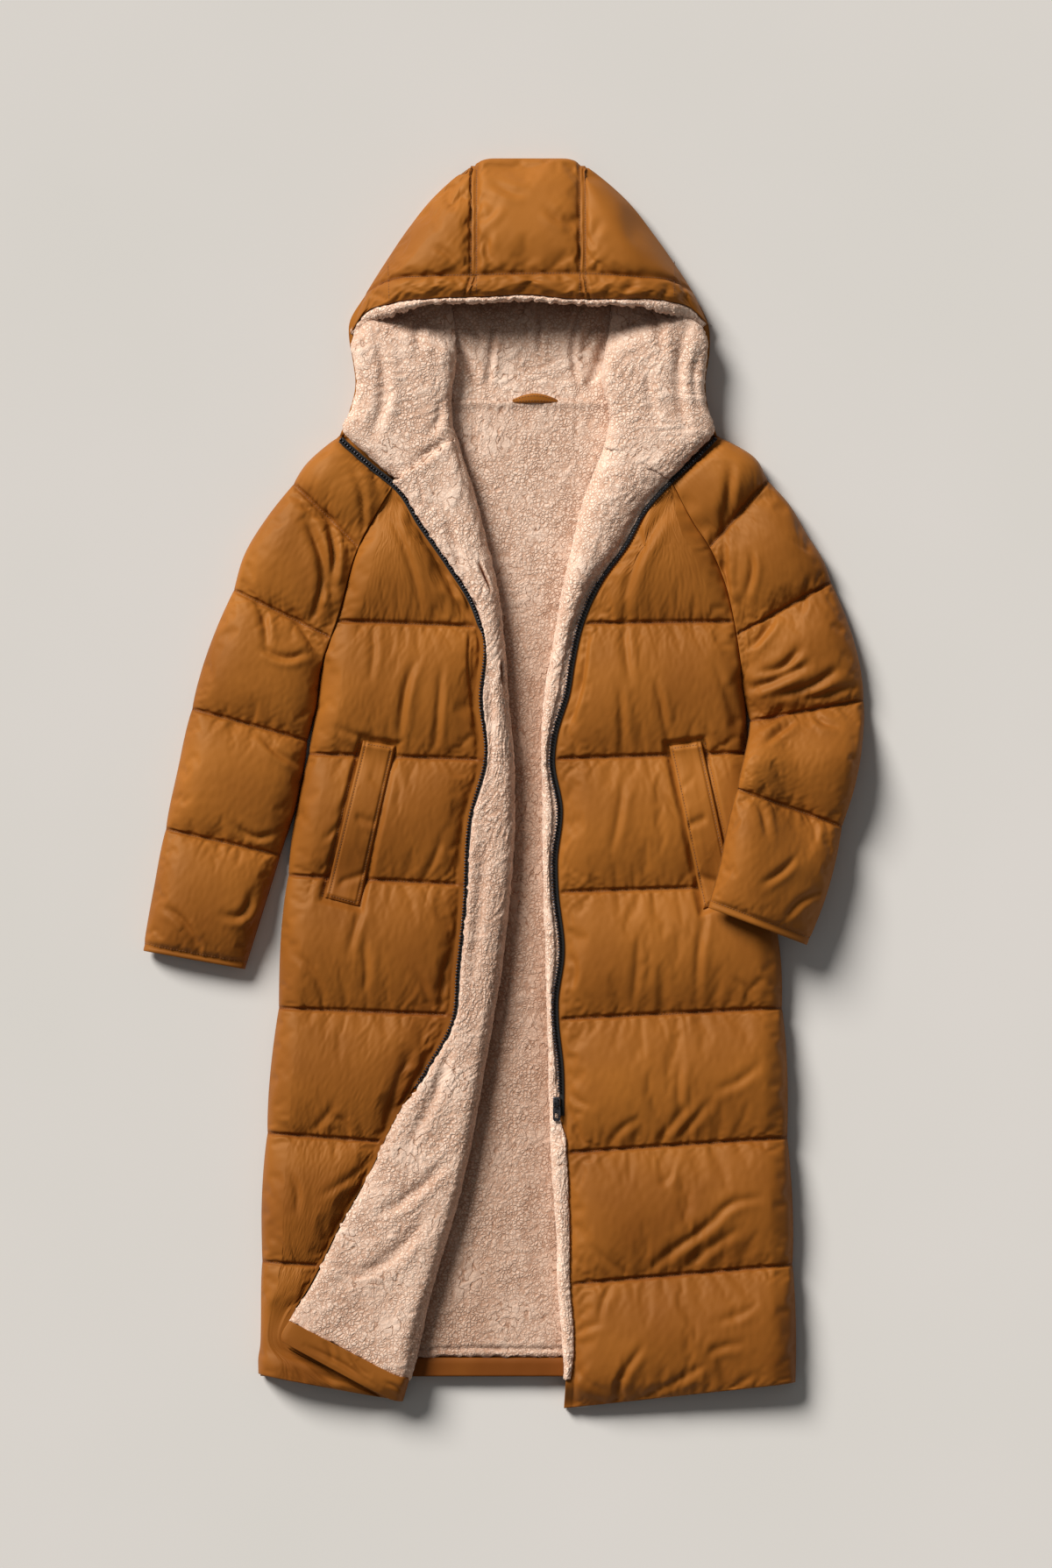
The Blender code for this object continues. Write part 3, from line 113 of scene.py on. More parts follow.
hoodRightSide = ((-34.6, 740.2), (-55.7, 727.6), (-80.9, 705.6), (-111.3, 668.9), (-138.6, 629),
                   (-163.8, 589.1), (-184.8, 552.3), (-184.8, 533.4), (-180.6, 509.2),
                   (-177.5, 477.8), (-184.8, 447.3), (-196.3, 418.5))
hoodLeftSide = ((89.2, 747.6), (104, 737.1), (144.4, 703), (181.7, 656.8), (205.8, 622.6),
                  (227.9, 588), (246.5, 549.1), (247.8, 524), (242.6, 477.8), (244.7, 456.8),
                  (256.2, 418.5))
# Along the hood the curves run across it, so these tables are y, x.
brim = ((536.6, -184.8), (558.6, -170.1), (573.3, -136), (579.6, -80.9), (581.7, -18.9),
        (583.8, 30.5), (579.6, 73.5), (578.6, 135.5), (576.5, 196.3), (567, 227.9), (549.1, 245.7))
bandSeam = ((589.1, -163.8), (601.6, -138.6), (605.9, -89.8), (607.4, -37.8), (609, 30.5),
             (609, 98.2), (604.8, 165.9), (601.6, 202.7), (589.1, 227.9))
neck = ((416.9, -197), (449.4, -98.7), (460, -58.8), (460, 123.9), (449.4, 169),
        (416.9, 257.5))
centreStripTop = 749.7
centreStripRight = -35.2
centreStripLeft = 94.6

# Quilt seams of each front: y at the side seam, at the fold of the lapel and at its free edge.
rightLevels = (
    ("neck", 358.1, 412.7, 358.1),
    ("yoke", 283.5, 296, 286),
    ("chest", 195, 187, 195),
    ("waist", 35.7, 27.3, 33.6),
    ("hip", -110, -124, -124),
    ("thigh", -269, -279.3, -279.3),
    ("knee", -419, -436.8, -405),
    ("calf", -573, -586, -536),
    ("hem", -708, -741.3, -669),
)
# The same for the left front: y at the side seam and at the fold of its lapel.
leftLevels = (
    ("neck", 362.2, 402.5),
    ("yoke", 283.5, 290),
    ("chest", 194, 191.5),
    ("waist", 37, 29),
    ("hip", -122, -130.5),
    ("thigh", -269, -283),
    ("knee", -424.2, -443.5),
    ("calf", -576.5, -601),
    ("hem", -718, -749.7),
)
# Quilt seams of each sleeve: y at the outer edge, at the front inner edge and at the back inner edge.
rightSleeveLevels = (
    ("neck", 416.9, 358.1, 449.4),
    ("shoulder", 359, 283.5, 352),
    ("upper arm", 232, 175, 175),
    ("elbow", 89.5, 51.5, 51.5),
    ("forearm", -54.6, -86, -86),
    ("cuff", -200.6, -222.6, -222.6),
)
leftSleeveLevels = (
    ("neck", 416.9, 362.2, 449.4),
    ("shoulder", 363, 283.5, 352),
    ("upper arm", 241.5, 178.5, 178.5),
    ("elbow", 99.8, 75, 75),
    ("forearm", -51.5, -6.3, -6.3),
    ("cuff", -193.2, -148.1, -148.1),
)

# Rows of each turned-back hood side: its outer point, its fold point, both x, y, and how high it lies.
turnbackRight = (
    ("under brim", -120, 600, -66, 600, 0.5),
    ("brim", -134, 569, -62, 576, 0.75),
    ("temple", -172, 550, -57.5, 545, 0.9),
    ("cheek", -182.5, 528, -55.7, 515.6, 1),
    ("jaw", -179.5, 505, -57.5, 496, 1),
    ("throat", -176.5, 477.8, -59.9, 476.7, 1),
    ("collar", -183.5, 447.3, -61.5, 455, 1),
    ("point", -192, 421, -60.9, 436.8, 1),
    ("zip", -153.5, 384.5, -58.5, 425, 1),
    ("neck seam", -127, 362.2, -55.1, 413.9, 1),
)
turnbackLeft = (
    ("under brim", 182, 600, 133, 600, 0.5),
    ("brim", 196, 571, 130, 575, 0.75),
    ("temple", 234, 552, 127, 548, 0.9),
    ("cheek", 245.5, 528, 122.9, 524, 1),
    ("jaw", 243.5, 505, 119, 503, 1),
    ("throat", 241.6, 477.8, 116.6, 487.2, 1),
    ("collar", 243.7, 456.8, 121.5, 465, 1),
    ("point", 253.5, 421.5, 126, 447.3, 1),
    ("zip", 230, 394.5, 127.1, 434.7, 1),
    ("neck seam", 200, 364.4, 119.7, 403.8, 1),
)


def smoothstep(t):
    t = np.clip(t, 0.0, 1.0)
    return t * t * (3 - 2 * t)


def quarterRound(t):
    return np.sqrt(1 - (1 - np.clip(t, 0.0, 1.0)) ** 2)


def pillow(w):
    return np.maximum(np.sin(np.pi * w), 0.0) ** 0.7


def mix(a, b, t):
    return a + (b - a) * t


def curve(table, linear=False):
    # reads a table of (x, y) rows as a smooth curve: x for any y, held past its ends
    rows = sorted(table, key=lambda row: row[1])
    x = np.array([row[0] for row in rows], dtype=float)
    y = np.array([row[1] for row in rows], dtype=float)
    slope = np.gradient(x, y) if len(rows) > 2 else np.full(2, (x[1] - x[0]) / (y[1] - y[0]))

    def read(at):
        at = np.clip(at, y[0], y[-1])
        if linear:
            return np.interp(at, y, x)
        k = np.clip(np.searchsorted(y, at, side="right") - 1, 0, len(y) - 2)
        span = y[k + 1] - y[k]
        t = (at - y[k]) / span
        near = (1 + 2 * t) * (1 - t) ** 2 * x[k] + t * (1 - t) ** 2 * span * slope[k]
        far = t * t * (3 - 2 * t) * x[k + 1] + t * t * (t - 1) * span * slope[k + 1]
        return near + far

    return read


raglanR, sideR, edgeR, foldR = (curve(t) for t in (rightRaglan, rightSide, rightEdge, rightFold))
raglanL, sideL, zipL, foldL = (curve(t) for t in (leftRaglan, leftSide, leftZip, leftFold))
backRaglanR, backRaglanL = curve(rightBackRaglan), curve(leftBackRaglan)
hoodR, hoodL = curve(hoodRightSide), curve(hoodLeftSide)
brimLine, bandLine, neckLine = curve(brim), curve(bandSeam), curve(neck, linear=True)


class Row:
    # a straight row across a panel, read by the distance from its start

    def __init__(self, start, end):
        self.start = np.array(start, dtype=float)
        self.length = float(np.linalg.norm(np.array(end) - self.start))
        self.way = (np.array(end) - self.start) / self.length

    def at(self, s):
        return self.start + np.asarray(s, dtype=float)[..., None] * self.way

    def crossing(self, line):
        near, far = 0.0, self.length
        rising = self.way[0] > 0
        for _ in range(26):
            middle = 0.5 * (near + far)
            x, y = self.start + self.way * middle
            if (x < line(y)) == rising:
                near = middle
            else:
                far = middle
        return near


def droop(y):
    return 17.0 * smoothstep((-716.0 - y) / 32.0)


def channelRows(levels, spacing, hemReach=0.85):
    # rows along a quilted piece, closer together at its seams: values, share of the channel, part, fullness
    # a yoke is measured but not sewn, so the cloth above and below it fills as one channel
    rows = []
    for k in range(len(levels) - 1):
        tall = abs(levels[k][1] - levels[k + 1][1])
        count = max(6, int(round(tall / spacing)))
        last = k == len(levels) - 2
        start = 0.46 if levels[k][0] == "yoke" else 0.0
        end = 0.46 if levels[k + 1][0] == "yoke" else hemReach if last else 1.0
        for i in range(count + last):
            t = i / count
            w = 0.5 * t + 0.25 * (1 - math.cos(math.pi * t))
            values = [mix(a, b, w) for a, b in zip(levels[k][1:], levels[k + 1][1:])]
            rows.append((values, start + w * (1 - start), k, float(pillow(mix(start, end, w)))))
    return rows


def stepsAlong(path):
    # how far along a path each of its points lies
    return np.concatenate([[0.0], np.cumsum(np.linalg.norm(np.diff(path, axis=0), axis=1))])


def readAlong(path, along, s):
    # a path's values at any distance along it
    return np.stack([np.interp(s, along, values) for values in path.T], -1)


def denseRow(points, count, rounds=2):
    # rounds off a coarse row of points and reads it again at even steps
    path = np.array(points, dtype=float)
    for _ in range(rounds):
        near = path[:-1] * 0.75 + path[1:] * 0.25
        far = path[:-1] * 0.25 + path[1:] * 0.75
        path = np.concatenate([path[:1], np.stack([near, far], 1).reshape(-1, path.shape[1]), path[-1:]])
    along = stepsAlong(path)
    return readAlong(path, along, np.linspace(0, along[-1], count))


def finer(grid):
    # one more point between each two, on a smooth curve through them
    for axis in (0, 1):
        g = np.moveaxis(grid, axis, 0)
        out = np.empty((2 * len(g) - 1,) + g.shape[1:])
        out[::2] = g
        p = np.concatenate([2 * g[:1] - g[1:2], g, 2 * g[-1:] - g[-2:-1]])
        out[1::2] = (9 * (p[1:-2] + p[2:-1]) - p[:-3] - p[3:]) / 16
        grid = np.moveaxis(out, 0, axis)
    return grid


def unitVectors(v):
    return v / np.maximum(np.linalg.norm(v, axis=-1, keepdims=True), 1e-9)


def gridNormals(grid):
    return unitVectors(np.cross(np.gradient(grid, axis=1), np.gradient(grid, axis=0)))


def upNormals(grid):
    normal = gridNormals(grid)
    return normal if normal[..., 2].mean() > 0 else -normal


def arcs(grid):
    # how far along and across the surface each point lies
    down = np.linalg.norm(np.diff(grid, axis=0), axis=-1)
    over = np.linalg.norm(np.diff(grid, axis=1), axis=-1)
    v = np.concatenate([np.zeros((1, grid.shape[1])), np.cumsum(down, axis=0)])
    u = np.concatenate([np.zeros((grid.shape[0], 1)), np.cumsum(over, axis=1)], axis=1)
    return u, v


noiseTable = np.random.RandomState(7).rand(32, 32, 32)


def softNoise(x, y, z=0.0):
    # smooth noise from -1 to 1, one bump a unit
    cell, part = [], []
    for a in np.broadcast_arrays(x, y, z):
        low = np.floor(a)
        t = a - low
        cell.append(low.astype(int))
        part.append(t * t * (3 - 2 * t))
    total = 0.0
    for i in (0, 1):
        for j in (0, 1):
            for k in (0, 1):
                corner = noiseTable[(cell[0] + i) % 32, (cell[1] + j) % 32, (cell[2] + k) % 32]
                weight = 1.0
                for p, c in zip(part, (i, j, k)):
                    weight = weight * (p if c else 1 - p)
                total = total + corner * weight
    return 2 * total - 1


def crease(points, strokes):
    # how deep the listed folds press each point in: strokes are (width, depth, x, y, x, y, ...)
    # a sharp valley, with a high lip on its lower right side and a low one on the other
    depth = np.zeros(points.shape[:-1])
    flat = points[..., :2]
    for wide, deep, *path in strokes:
        path = np.array(path, dtype=float).reshape(-1, 2)
        reach = 5.0 * wide
        inside = np.all((flat > path.min(0) - reach) & (flat < path.max(0) + reach), axis=-1)
        spots = flat[inside]
        path = denseRow(path, 12, 2)
        best = np.full(len(spots), 1e9)
        share, sign = np.zeros(len(spots)), np.ones(len(spots))
        for k, (a, b) in enumerate(zip(path, path[1:])):
            way = b - a
            t = np.clip(((spots - a) @ way) / (way @ way), 0, 1)
            off = spots - (a + t[:, None] * way)
            gap = np.linalg.norm(off, axis=-1)
            closer = gap < best
            best = np.where(closer, gap, best)
            share = np.where(closer, (k + t) / (len(path) - 1), share)
            sign = np.where(closer, np.sign(off @ np.array((0.6, -0.8)) + 1e-9), sign)
        taper = np.sin(np.pi * np.clip(share, 0.02, 0.98)) ** 0.6
        across = best * sign
        lips = 0.5 * np.exp(-((across - 2.0 * wide) / (1.2 * wide)) ** 2)
        lips = lips + 0.22 * np.exp(-((across + 2.4 * wide) / (1.5 * wide)) ** 2)
        depth[inside] += deep * taper * (np.exp(-(best / wide) ** 2) - lips)
    return depth


def insideQuad(x, y, corners):
    # how far inside a four-sided outline each point lies, in mm, below zero outside it
    best = np.full(np.shape(x), 1e9)
    middle = np.mean(corners, axis=0)
    for a, b in zip(corners, corners[1:] + corners[:1]):
        way = np.array(b, dtype=float) - a
        normal = np.array((-way[1], way[0])) / np.linalg.norm(way)
        normal = normal if normal @ (middle - a) > 0 else -normal
        best = np.minimum(best, (x - a[0]) * normal[0] + (y - a[1]) * normal[1])
    return best


def deselectAll():
    for item in bpy.context.view_layer.objects:
        item.select_set(False)
    bpy.context.view_layer.objects.active = None


def placed(name, points, faces, material):
    mesh = bpy.data.meshes.new(name)
    mesh.from_pydata((np.asarray(points) * unit).tolist(), [], faces)
    mesh.shade_smooth()
    mesh.materials.append(material)
    piece = bpy.data.objects.new(name, mesh)
    bpy.context.scene.collection.objects.link(piece)
    return piece


def closedWall(name, outer, inner, material, step=4, **marks):
    # a closed body from two grids of points; its plain inner side keeps each step-th row and column
    rows, cols = outer.shape[:2]
    rowKeys = sorted(set(range(0, rows, step)) | {rows - 1})
    colKeys = sorted(set(range(0, cols, step)) | {cols - 1})
    top = np.arange(rows * cols).reshape(rows, cols)
    border = [(0, j) for j in range(cols)] + [(i, cols - 1) for i in range(1, rows)]
    border += [(rows - 1, j) for j in range(cols - 2, -1, -1)] + [(i, 0) for i in range(rows - 2, 0, -1)]
    lowKeys = sorted(set(border) | {(i, j) for i in rowKeys for j in colKeys})
    low = {key: rows * cols + n for n, key in enumerate(lowKeys)}
    index = tuple(np.array(lowKeys).T)
    points = np.concatenate([outer.reshape(-1, 3), inner[index]])
    quads = np.stack([top[:-1, :-1], top[:-1, 1:], top[1:, 1:], top[1:, :-1]], -1).reshape(-1, 4)
    faces = quads.tolist()
    for a, b in zip(rowKeys, rowKeys[1:]):
        for c, d in zip(colKeys, colKeys[1:]):
            ring = [(a, j) for j in range(c, d)] + [(i, d) for i in range(a, b)]
            ring += [(b, j) for j in range(d, c, -1)] + [(i, c) for i in range(b, a, -1)]
            faces.append([low[key] for key in ring if key in low][::-1])
    for p, q in zip(border, border[1:] + border[:1]):
        faces.append([int(top[q]), int(top[p]), low[p], low[q]])
    outward = np.cross(np.gradient(outer, axis=1), np.gradient(outer, axis=0))
    if (outward * (outer - inner)).sum() < 0:
        faces = [face[::-1] for face in faces]
    piece = placed(name, points, faces, material)
    for mark, values in marks.items():
        layer = piece.data.attributes.new(mark, "FLOAT", "POINT")
        both = np.concatenate([values.ravel(), values[index]]).astype(np.float32)
        layer.data.foreach_set("value", both)
    return piece


def copies(name, shape, spots, material):
    # one small shape (points, faces) set down at many spots, each a place and three axes
    shapePoints, shapeFaces = np.array(shape[0], dtype=float), shape[1]
    points, faces = [], []
    for k, (place, axes) in enumerate(spots):
        points.append(place + shapePoints @ axes)
        faces += [[k * len(shapePoints) + i for i in face] for face in shapeFaces]
    return placed(name, np.concatenate(points), faces, material)


def onCoat(piece, replaced=()):
    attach(piece, "coat")
    if replaced:
        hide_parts(*replaced)
    return piece


def hitFrom(tree, x, y, fallback):
    hit = tree.ray_cast(Vector((x, y, 200.0)) * unit, Vector((0, 0, -1)))[0]
    return hit.z / unit if hit else fallback


def treeOf(*pieces):
    points, faces = [], []
    for piece in pieces:
        base = len(points)
        points += [v.co for v in piece.data.vertices]
        faces += [[base + i for i in p.vertices] for p in piece.data.polygons]
    return BVHTree.FromPolygons(points, faces)


stageSettings = {
    "lens": 200.0,
    "frameHeight": 1.878,  # metres of floor from the top of the picture to its foot
    "centre": (0.0273, -0.0005),
    "coatHeight": 0.03,
    "keyFrom": (-3.8, 4.2, 3.8),
    "keySoftness": 0.42,
    "keyPower": 4.7,
    "worldLight": 0.15,
    "floorColour": "#DCD9D6",
}


def linear(hexColour):
    # sRGB hex to the linear values that shaders take
    parts = [int(hexColour[i:i + 2], 16) / 255 for i in (1, 3, 5)]
    parts = [p / 12.92 if p <= 0.04045 else ((p + 0.055) / 1.055) ** 2.4 for p in parts]
    return (*parts, 1.0)


def addNode(tree, kind, inputs=(), stops=(), **settings):
    # one node; an input is a value, a node, or a node with the name of its output; stops make a colour ramp
    node = tree.nodes.new("ShaderNode" + kind)
    for key, value in settings.items():
        setattr(node, key, value)
    for key, value in dict(inputs).items():
        source = value if isinstance(value, tuple) else (value, 0)
        if isinstance(source[0], bpy.types.Node):
            tree.links.new(source[0].outputs[source[1]], node.inputs[key])
        else:
            node.inputs[key].default_value = value
    if stops:
        elements = node.color_ramp.elements
        for _ in stops[2:]:
            elements.new(0.5)
        for element, (place, colour) in zip(elements, stops):
            element.position = place
            element.color = linear(colour)
    return node


def newMaterial(name):
    # an empty material, its node tree and its place in metres
    material = bpy.data.materials.new(name)
    material.use_nodes = True
    tree = material.node_tree
    tree.nodes.clear()
    return material, tree, (addNode(tree, "TexCoord"), "Object")


def finished(material, skin):
    addNode(material.node_tree, "OutputMaterial", {"Surface": skin})
    return material


def stageScene():
    look = stageSettings
    bpy.ops.mesh.primitive_plane_add(size=60, location=(0, 0, 0))
    floor = bpy.context.object
    floor.name = "floor"
    paper, tree, place = newMaterial("matte plaster board")  # flat pale paint, no gloss, a faint cloudiness
    cloud = addNode(tree, "TexNoise", {"Vector": place, "Scale": 2.2, "Detail": 3.0})
    tone = addNode(tree, "ValToRGB", {"Fac": cloud}, ((0.3, "#D9D7D3"), (0.7, look["floorColour"])))
    skin = addNode(tree, "BsdfPrincipled", {"Base Color": tone, "Roughness": 0.95,
                                            "Specular IOR Level": 0.15})
    floor.data.materials.append(finished(paper, skin))
    scene = bpy.context.scene
    scene.world = bpy.data.worlds.new("studio")
    scene.world.use_nodes = True
    back = scene.world.node_tree.nodes["Background"]
    back.inputs["Color"].default_value = linear("#F4F3F1")
    back.inputs["Strength"].default_value = look["worldLight"]
    light = bpy.data.lights.new("key", "SUN")  # a large soft window, so far off that the coat is lit evenly
    light.angle = look["keySoftness"]
    light.energy = look["keyPower"]
    light.color = linear("#FFFBF6")[:3]
    lamp = bpy.data.objects.new("key", light)
    lamp.rotation_mode = "QUATERNION"
    lamp.rotation_quaternion = Vector(look["keyFrom"]).to_track_quat("Z", "Y")
    scene.collection.objects.link(lamp)
    lens = bpy.data.cameras.new("camera")
    lens.lens = look["lens"]
    lens.sensor_width = 36.0
    lens.clip_end = 100.0
    camera = bpy.data.objects.new("camera", lens)
    far = look["frameHeight"] * lens.lens / lens.sensor_width
    camera.location = (*look["centre"], far + look["coatHeight"])
    scene.collection.objects.link(camera)
    scene.camera = camera
    scene.view_settings.view_transform = "Standard"
    scene.view_settings.look = "None"


shellSettings = {
    "deep": "#763F14",
    "shade": "#8A511B",
    "cloth": "#9F6123",
    "roughness": 0.56,
    "sheen": 0.06,
    "threadSpacing": 0.0011,  # real taffeta has 0.2 mm; drawn coarser so that it still shows close up
}


def shellNylon(name):
    # calendered nylon taffeta, woven: a soft silky gloss, tight small crumples, puckers at each seam
    look = shellSettings
    material, tree, place = newMaterial(name)
    broad = addNode(tree, "TexNoise", {"Vector": place, "Scale": 7.0, "Detail": 3.0, "Roughness": 0.55})
    # painted light: the colour is lighter towards the hood and darker towards the hem, over a random broad
    # tone
    paintedFalloff = addNode(tree, "VectorMath", {0: place, 1: (0.0, 0.16, 0.0)}, operation="DOT_PRODUCT")
    toneAndPaintedFalloff = addNode(tree, "Math", {0: broad, 1: (paintedFalloff, "Value")}, operation="ADD")
    # the seam mark darkens the colour: partly the seam's own dark line and grime, partly painted shade in its
    # groove; on the back hem strip it darkens the whole strip as painted shade
    seam = addNode(tree, "Attribute", attribute_name="seam")
    sewn = addNode(tree, "Math", {0: (seam, "Fac"), 1: -0.34, 2: toneAndPaintedFalloff}, operation="MULTIPLY_ADD")
    tone = addNode(tree, "ValToRGB", {"Fac": sewn},
                   ((0.05, look["deep"]), (0.36, look["shade"]), (0.7, look["cloth"])))
    crumple = addNode(tree, "TexNoise", {"Vector": place, "Scale": 55.0, "Detail": 4.0,
                                         "Roughness": 0.6, "Distortion": 0.6})
    waves = {"Vector": place, "Scale": 0.314 / look["threadSpacing"]}
    warp = addNode(tree, "TexWave", waves, bands_direction="X")
    weft = addNode(tree, "TexWave", waves, bands_direction="Y")
    weave = addNode(tree, "Math", {0: (warp, "Fac"), 1: (weft, "Fac")}, operation="MULTIPLY")
    soft = addNode(tree, "Bump", {"Height": crumple, "Strength": 0.05, "Distance": 0.004})
    bump = addNode(tree, "Bump", {"Height": weave, "Normal": soft, "Strength": 0.06, "Distance": 0.0003})
    skin = addNode(tree, "BsdfPrincipled", {
        "Base Color": tone, "Normal": bump, "Roughness": look["roughness"], "Sheen Weight": look["sheen"],
        "Sheen Roughness": 0.4, "Sheen Tint": linear("#D9A568"), "IOR": 1.5, "Specular IOR Level": 0.26,
        "Specular Tint": linear("#F0DDB0")})
    return finished(material, skin)


fleeceSettings = {
    "deep": "#8F644B",
    "middle": "#D7AF95",
    "tips": "#F8DDC9",
    "lint": 0.0021,
    "clump": 0.0042,  # how wide one curl of the pile is
}


def sherpaFleece(name):
    # brushed polyester sherpa, knitted and tumbled: a matt plush, with thin cracks where its clumps part
    look = fleeceSettings
    material, tree, place = newMaterial(name)
    pile = addNode(tree, "Attribute", attribute_name="pile")
    shade = addNode(tree, "Attribute", attribute_name="shade")
    bend = addNode(tree, "TexNoise", {"Vector": place, "Scale": 110.0, "Detail": 3.0})
    moved = addNode(tree, "VectorMath", {0: (bend, "Color"), 1: (0.009, 0.009, 0.009), 2: place},
                    operation="MULTIPLY_ADD")
    # long winding cracks: 1 where a smooth noise passes its middle value, 0 away from there
    drawn = addNode(tree, "VectorMath", {0: moved, 1: (1.0, 0.6, 1.0)}, operation="MULTIPLY")
    winding = addNode(tree, "TexNoise", {"Vector": drawn, "Scale": 1 / (2.6 * look["clump"]),
                                         "Detail": 1.0, "Roughness": 0.45})
    away = addNode(tree, "Math", {0: winding, 1: 0.5}, operation="SUBTRACT")
    gap = addNode(tree, "Math", {0: away}, operation="ABSOLUTE")
    scaled = {"operation": "MULTIPLY_ADD", "use_clamp": True}
    long = addNode(tree, "Math", {0: gap, 1: -1 / 0.035, 2: 1.0}, **scaled)
    where = addNode(tree, "TexNoise", {"Vector": place, "Scale": 24.0, "Detail": 2.0})
    here = addNode(tree, "Math", {0: where, 1: 4.5, 2: -1.8}, **scaled)
    there = addNode(tree, "Math", {0: where, 1: -2.6, 2: 2.1}, **scaled)
    curls = addNode(tree, "TexVoronoi", {"Vector": moved, "Scale": 1 / look["clump"], "Randomness": 0.9},
                    feature="DISTANCE_TO_EDGE")
    parting = addNode(tree, "Math", {0: curls, 1: -4.2, 2: 1.0}, **scaled)
    longShown = addNode(tree, "Math", {0: long, 1: here}, operation="MULTIPLY")
    partShown = addNode(tree, "Math", {0: parting, 1: there}, operation="MULTIPLY")
    faint = addNode(tree, "Math", {0: partShown, 1: 0.85}, operation="MULTIPLY")
    crack = addNode(tree, "Math", {0: longShown, 1: faint}, operation="MAXIMUM")
    lint = addNode(tree, "TexNoise", {"Vector": place, "Scale": 1 / (2.4 * look["lint"]),
                                      "Detail": 4.0, "Roughness": 0.65})
    fluff = addNode(tree, "Math", {0: lint, 1: 0.34, 2: 0.55}, operation="MULTIPLY_ADD")
    parted = addNode(tree, "Math", {0: crack, 1: -0.5, 2: fluff}, operation="MULTIPLY_ADD")
    summed = addNode(tree, "Math", {0: (pile, "Fac"), 1: 0.16, 2: parted}, operation="MULTIPLY_ADD")
    # the colour darkens into the cracks and, a little, where the pile stands low: painted shade in the
    # crevices; the lint varies it at random
    tone = addNode(tree, "ValToRGB", {"Fac": summed},
                   ((0.15, look["deep"]), (0.47, look["middle"]), (0.8, look["tips"])))
    # the shade mark darkens the colour: painted shade
    dim = addNode(tree, "VectorMath", {0: (shade, "Fac"), 1: (-0.52, -0.62, -0.68), 2: (1.0, 1.0, 1.0)},
                  operation="MULTIPLY_ADD")
    toned = addNode(tree, "VectorMath", {0: tone, 1: dim}, operation="MULTIPLY")
    kept = addNode(tree, "VectorMath", {0: toned, 1: (0.012, 0.006, 0.003)}, operation="MAXIMUM")
    bump = addNode(tree, "Bump", {"Height": summed, "Strength": 0.75, "Distance": 0.0022})
    skin = addNode(tree, "BsdfPrincipled", {
        "Base Color": kept, "Normal": bump, "Roughness": 1.0, "Sheen Weight": 0.4, "Sheen Roughness": 0.6,
        "Sheen Tint": linear("#FFE6D4"), "Specular IOR Level": 0.08})
    return finished(material, skin)


# dark and light colour of each small part
trimColours = {
    "tape": ("#070708", "#161617"),
    "slider": ("#2E2E32", "#7A7A80"),
    "teeth": ("#18181B", "#5C5C64"),
    "thread": ("#5E3410", "#8A5218"),
}


def tapeWeave(name):
    # woven polyester zip tape, black, with a fine herringbone
    low, high = trimColours["tape"]
    material, tree, place = newMaterial(name)
    rib = addNode(tree, "TexWave", {"Vector": place, "Scale": 0.314 / 0.0012, "Distortion": 1.0},
                  bands_direction="DIAGONAL")
    tone = addNode(tree, "ValToRGB", {"Fac": (rib, "Fac")}, ((0.0, low), (1.0, high)))
    bump = addNode(tree, "Bump", {"Height": (rib, "Fac"), "Strength": 0.4, "Distance": 0.0004})
    skin = addNode(tree, "BsdfPrincipled", {"Base Color": tone, "Normal": bump, "Roughness": 0.75,
                                            "Sheen Weight": 0.1})
    return finished(material, skin)


def blackZinc(name, part):
    # cast zinc, plated black and tumbled: dark satin metal with brighter rubbed edges
    low, high = trimColours[part]
    material, tree, place = newMaterial(name)
    wear = addNode(tree, "TexNoise", {"Vector": place, "Scale": 420.0, "Detail": 3.0})
    tone = addNode(tree, "ValToRGB", {"Fac": wear}, ((0.35, low), (0.75, high)))
    skin = addNode(tree, "BsdfPrincipled", {"Base Color": tone, "Metallic": 0.85, "Roughness": 0.33})
    return finished(material, skin)


def spunThread(name):
    # spun polyester sewing thread, a shade darker than the shell
    low, high = trimColours["thread"]
    material, tree, place = newMaterial(name)
    twist = addNode(tree, "TexNoise", {"Vector": place, "Scale": 900.0})
    tone = addNode(tree, "ValToRGB", {"Fac": twist}, ((0.3, low), (0.7, high)))
    skin = addNode(tree, "BsdfPrincipled", {"Base Color": tone, "Roughness": 0.6, "Sheen Weight": 0.2})
    return finished(material, skin)


stageScene()
shellCloth = shellNylon("nylonTaffeta")
fleeceCloth = sherpaFleece("sherpaFleece")
tapeCloth = tapeWeave("polyesterTape")
zipZinc = blackZinc("blackZinc", "slider")
toothZinc = blackZinc("polishedBlackZinc", "teeth")
thread = spunThread("polyesterThread")
print("stage and materials ready")


simSettings = {
    "frames": 22,
    "quality": 6,
    "tension": 12.0,
    "bending": 1.6,
    "mass": 0.22,
}


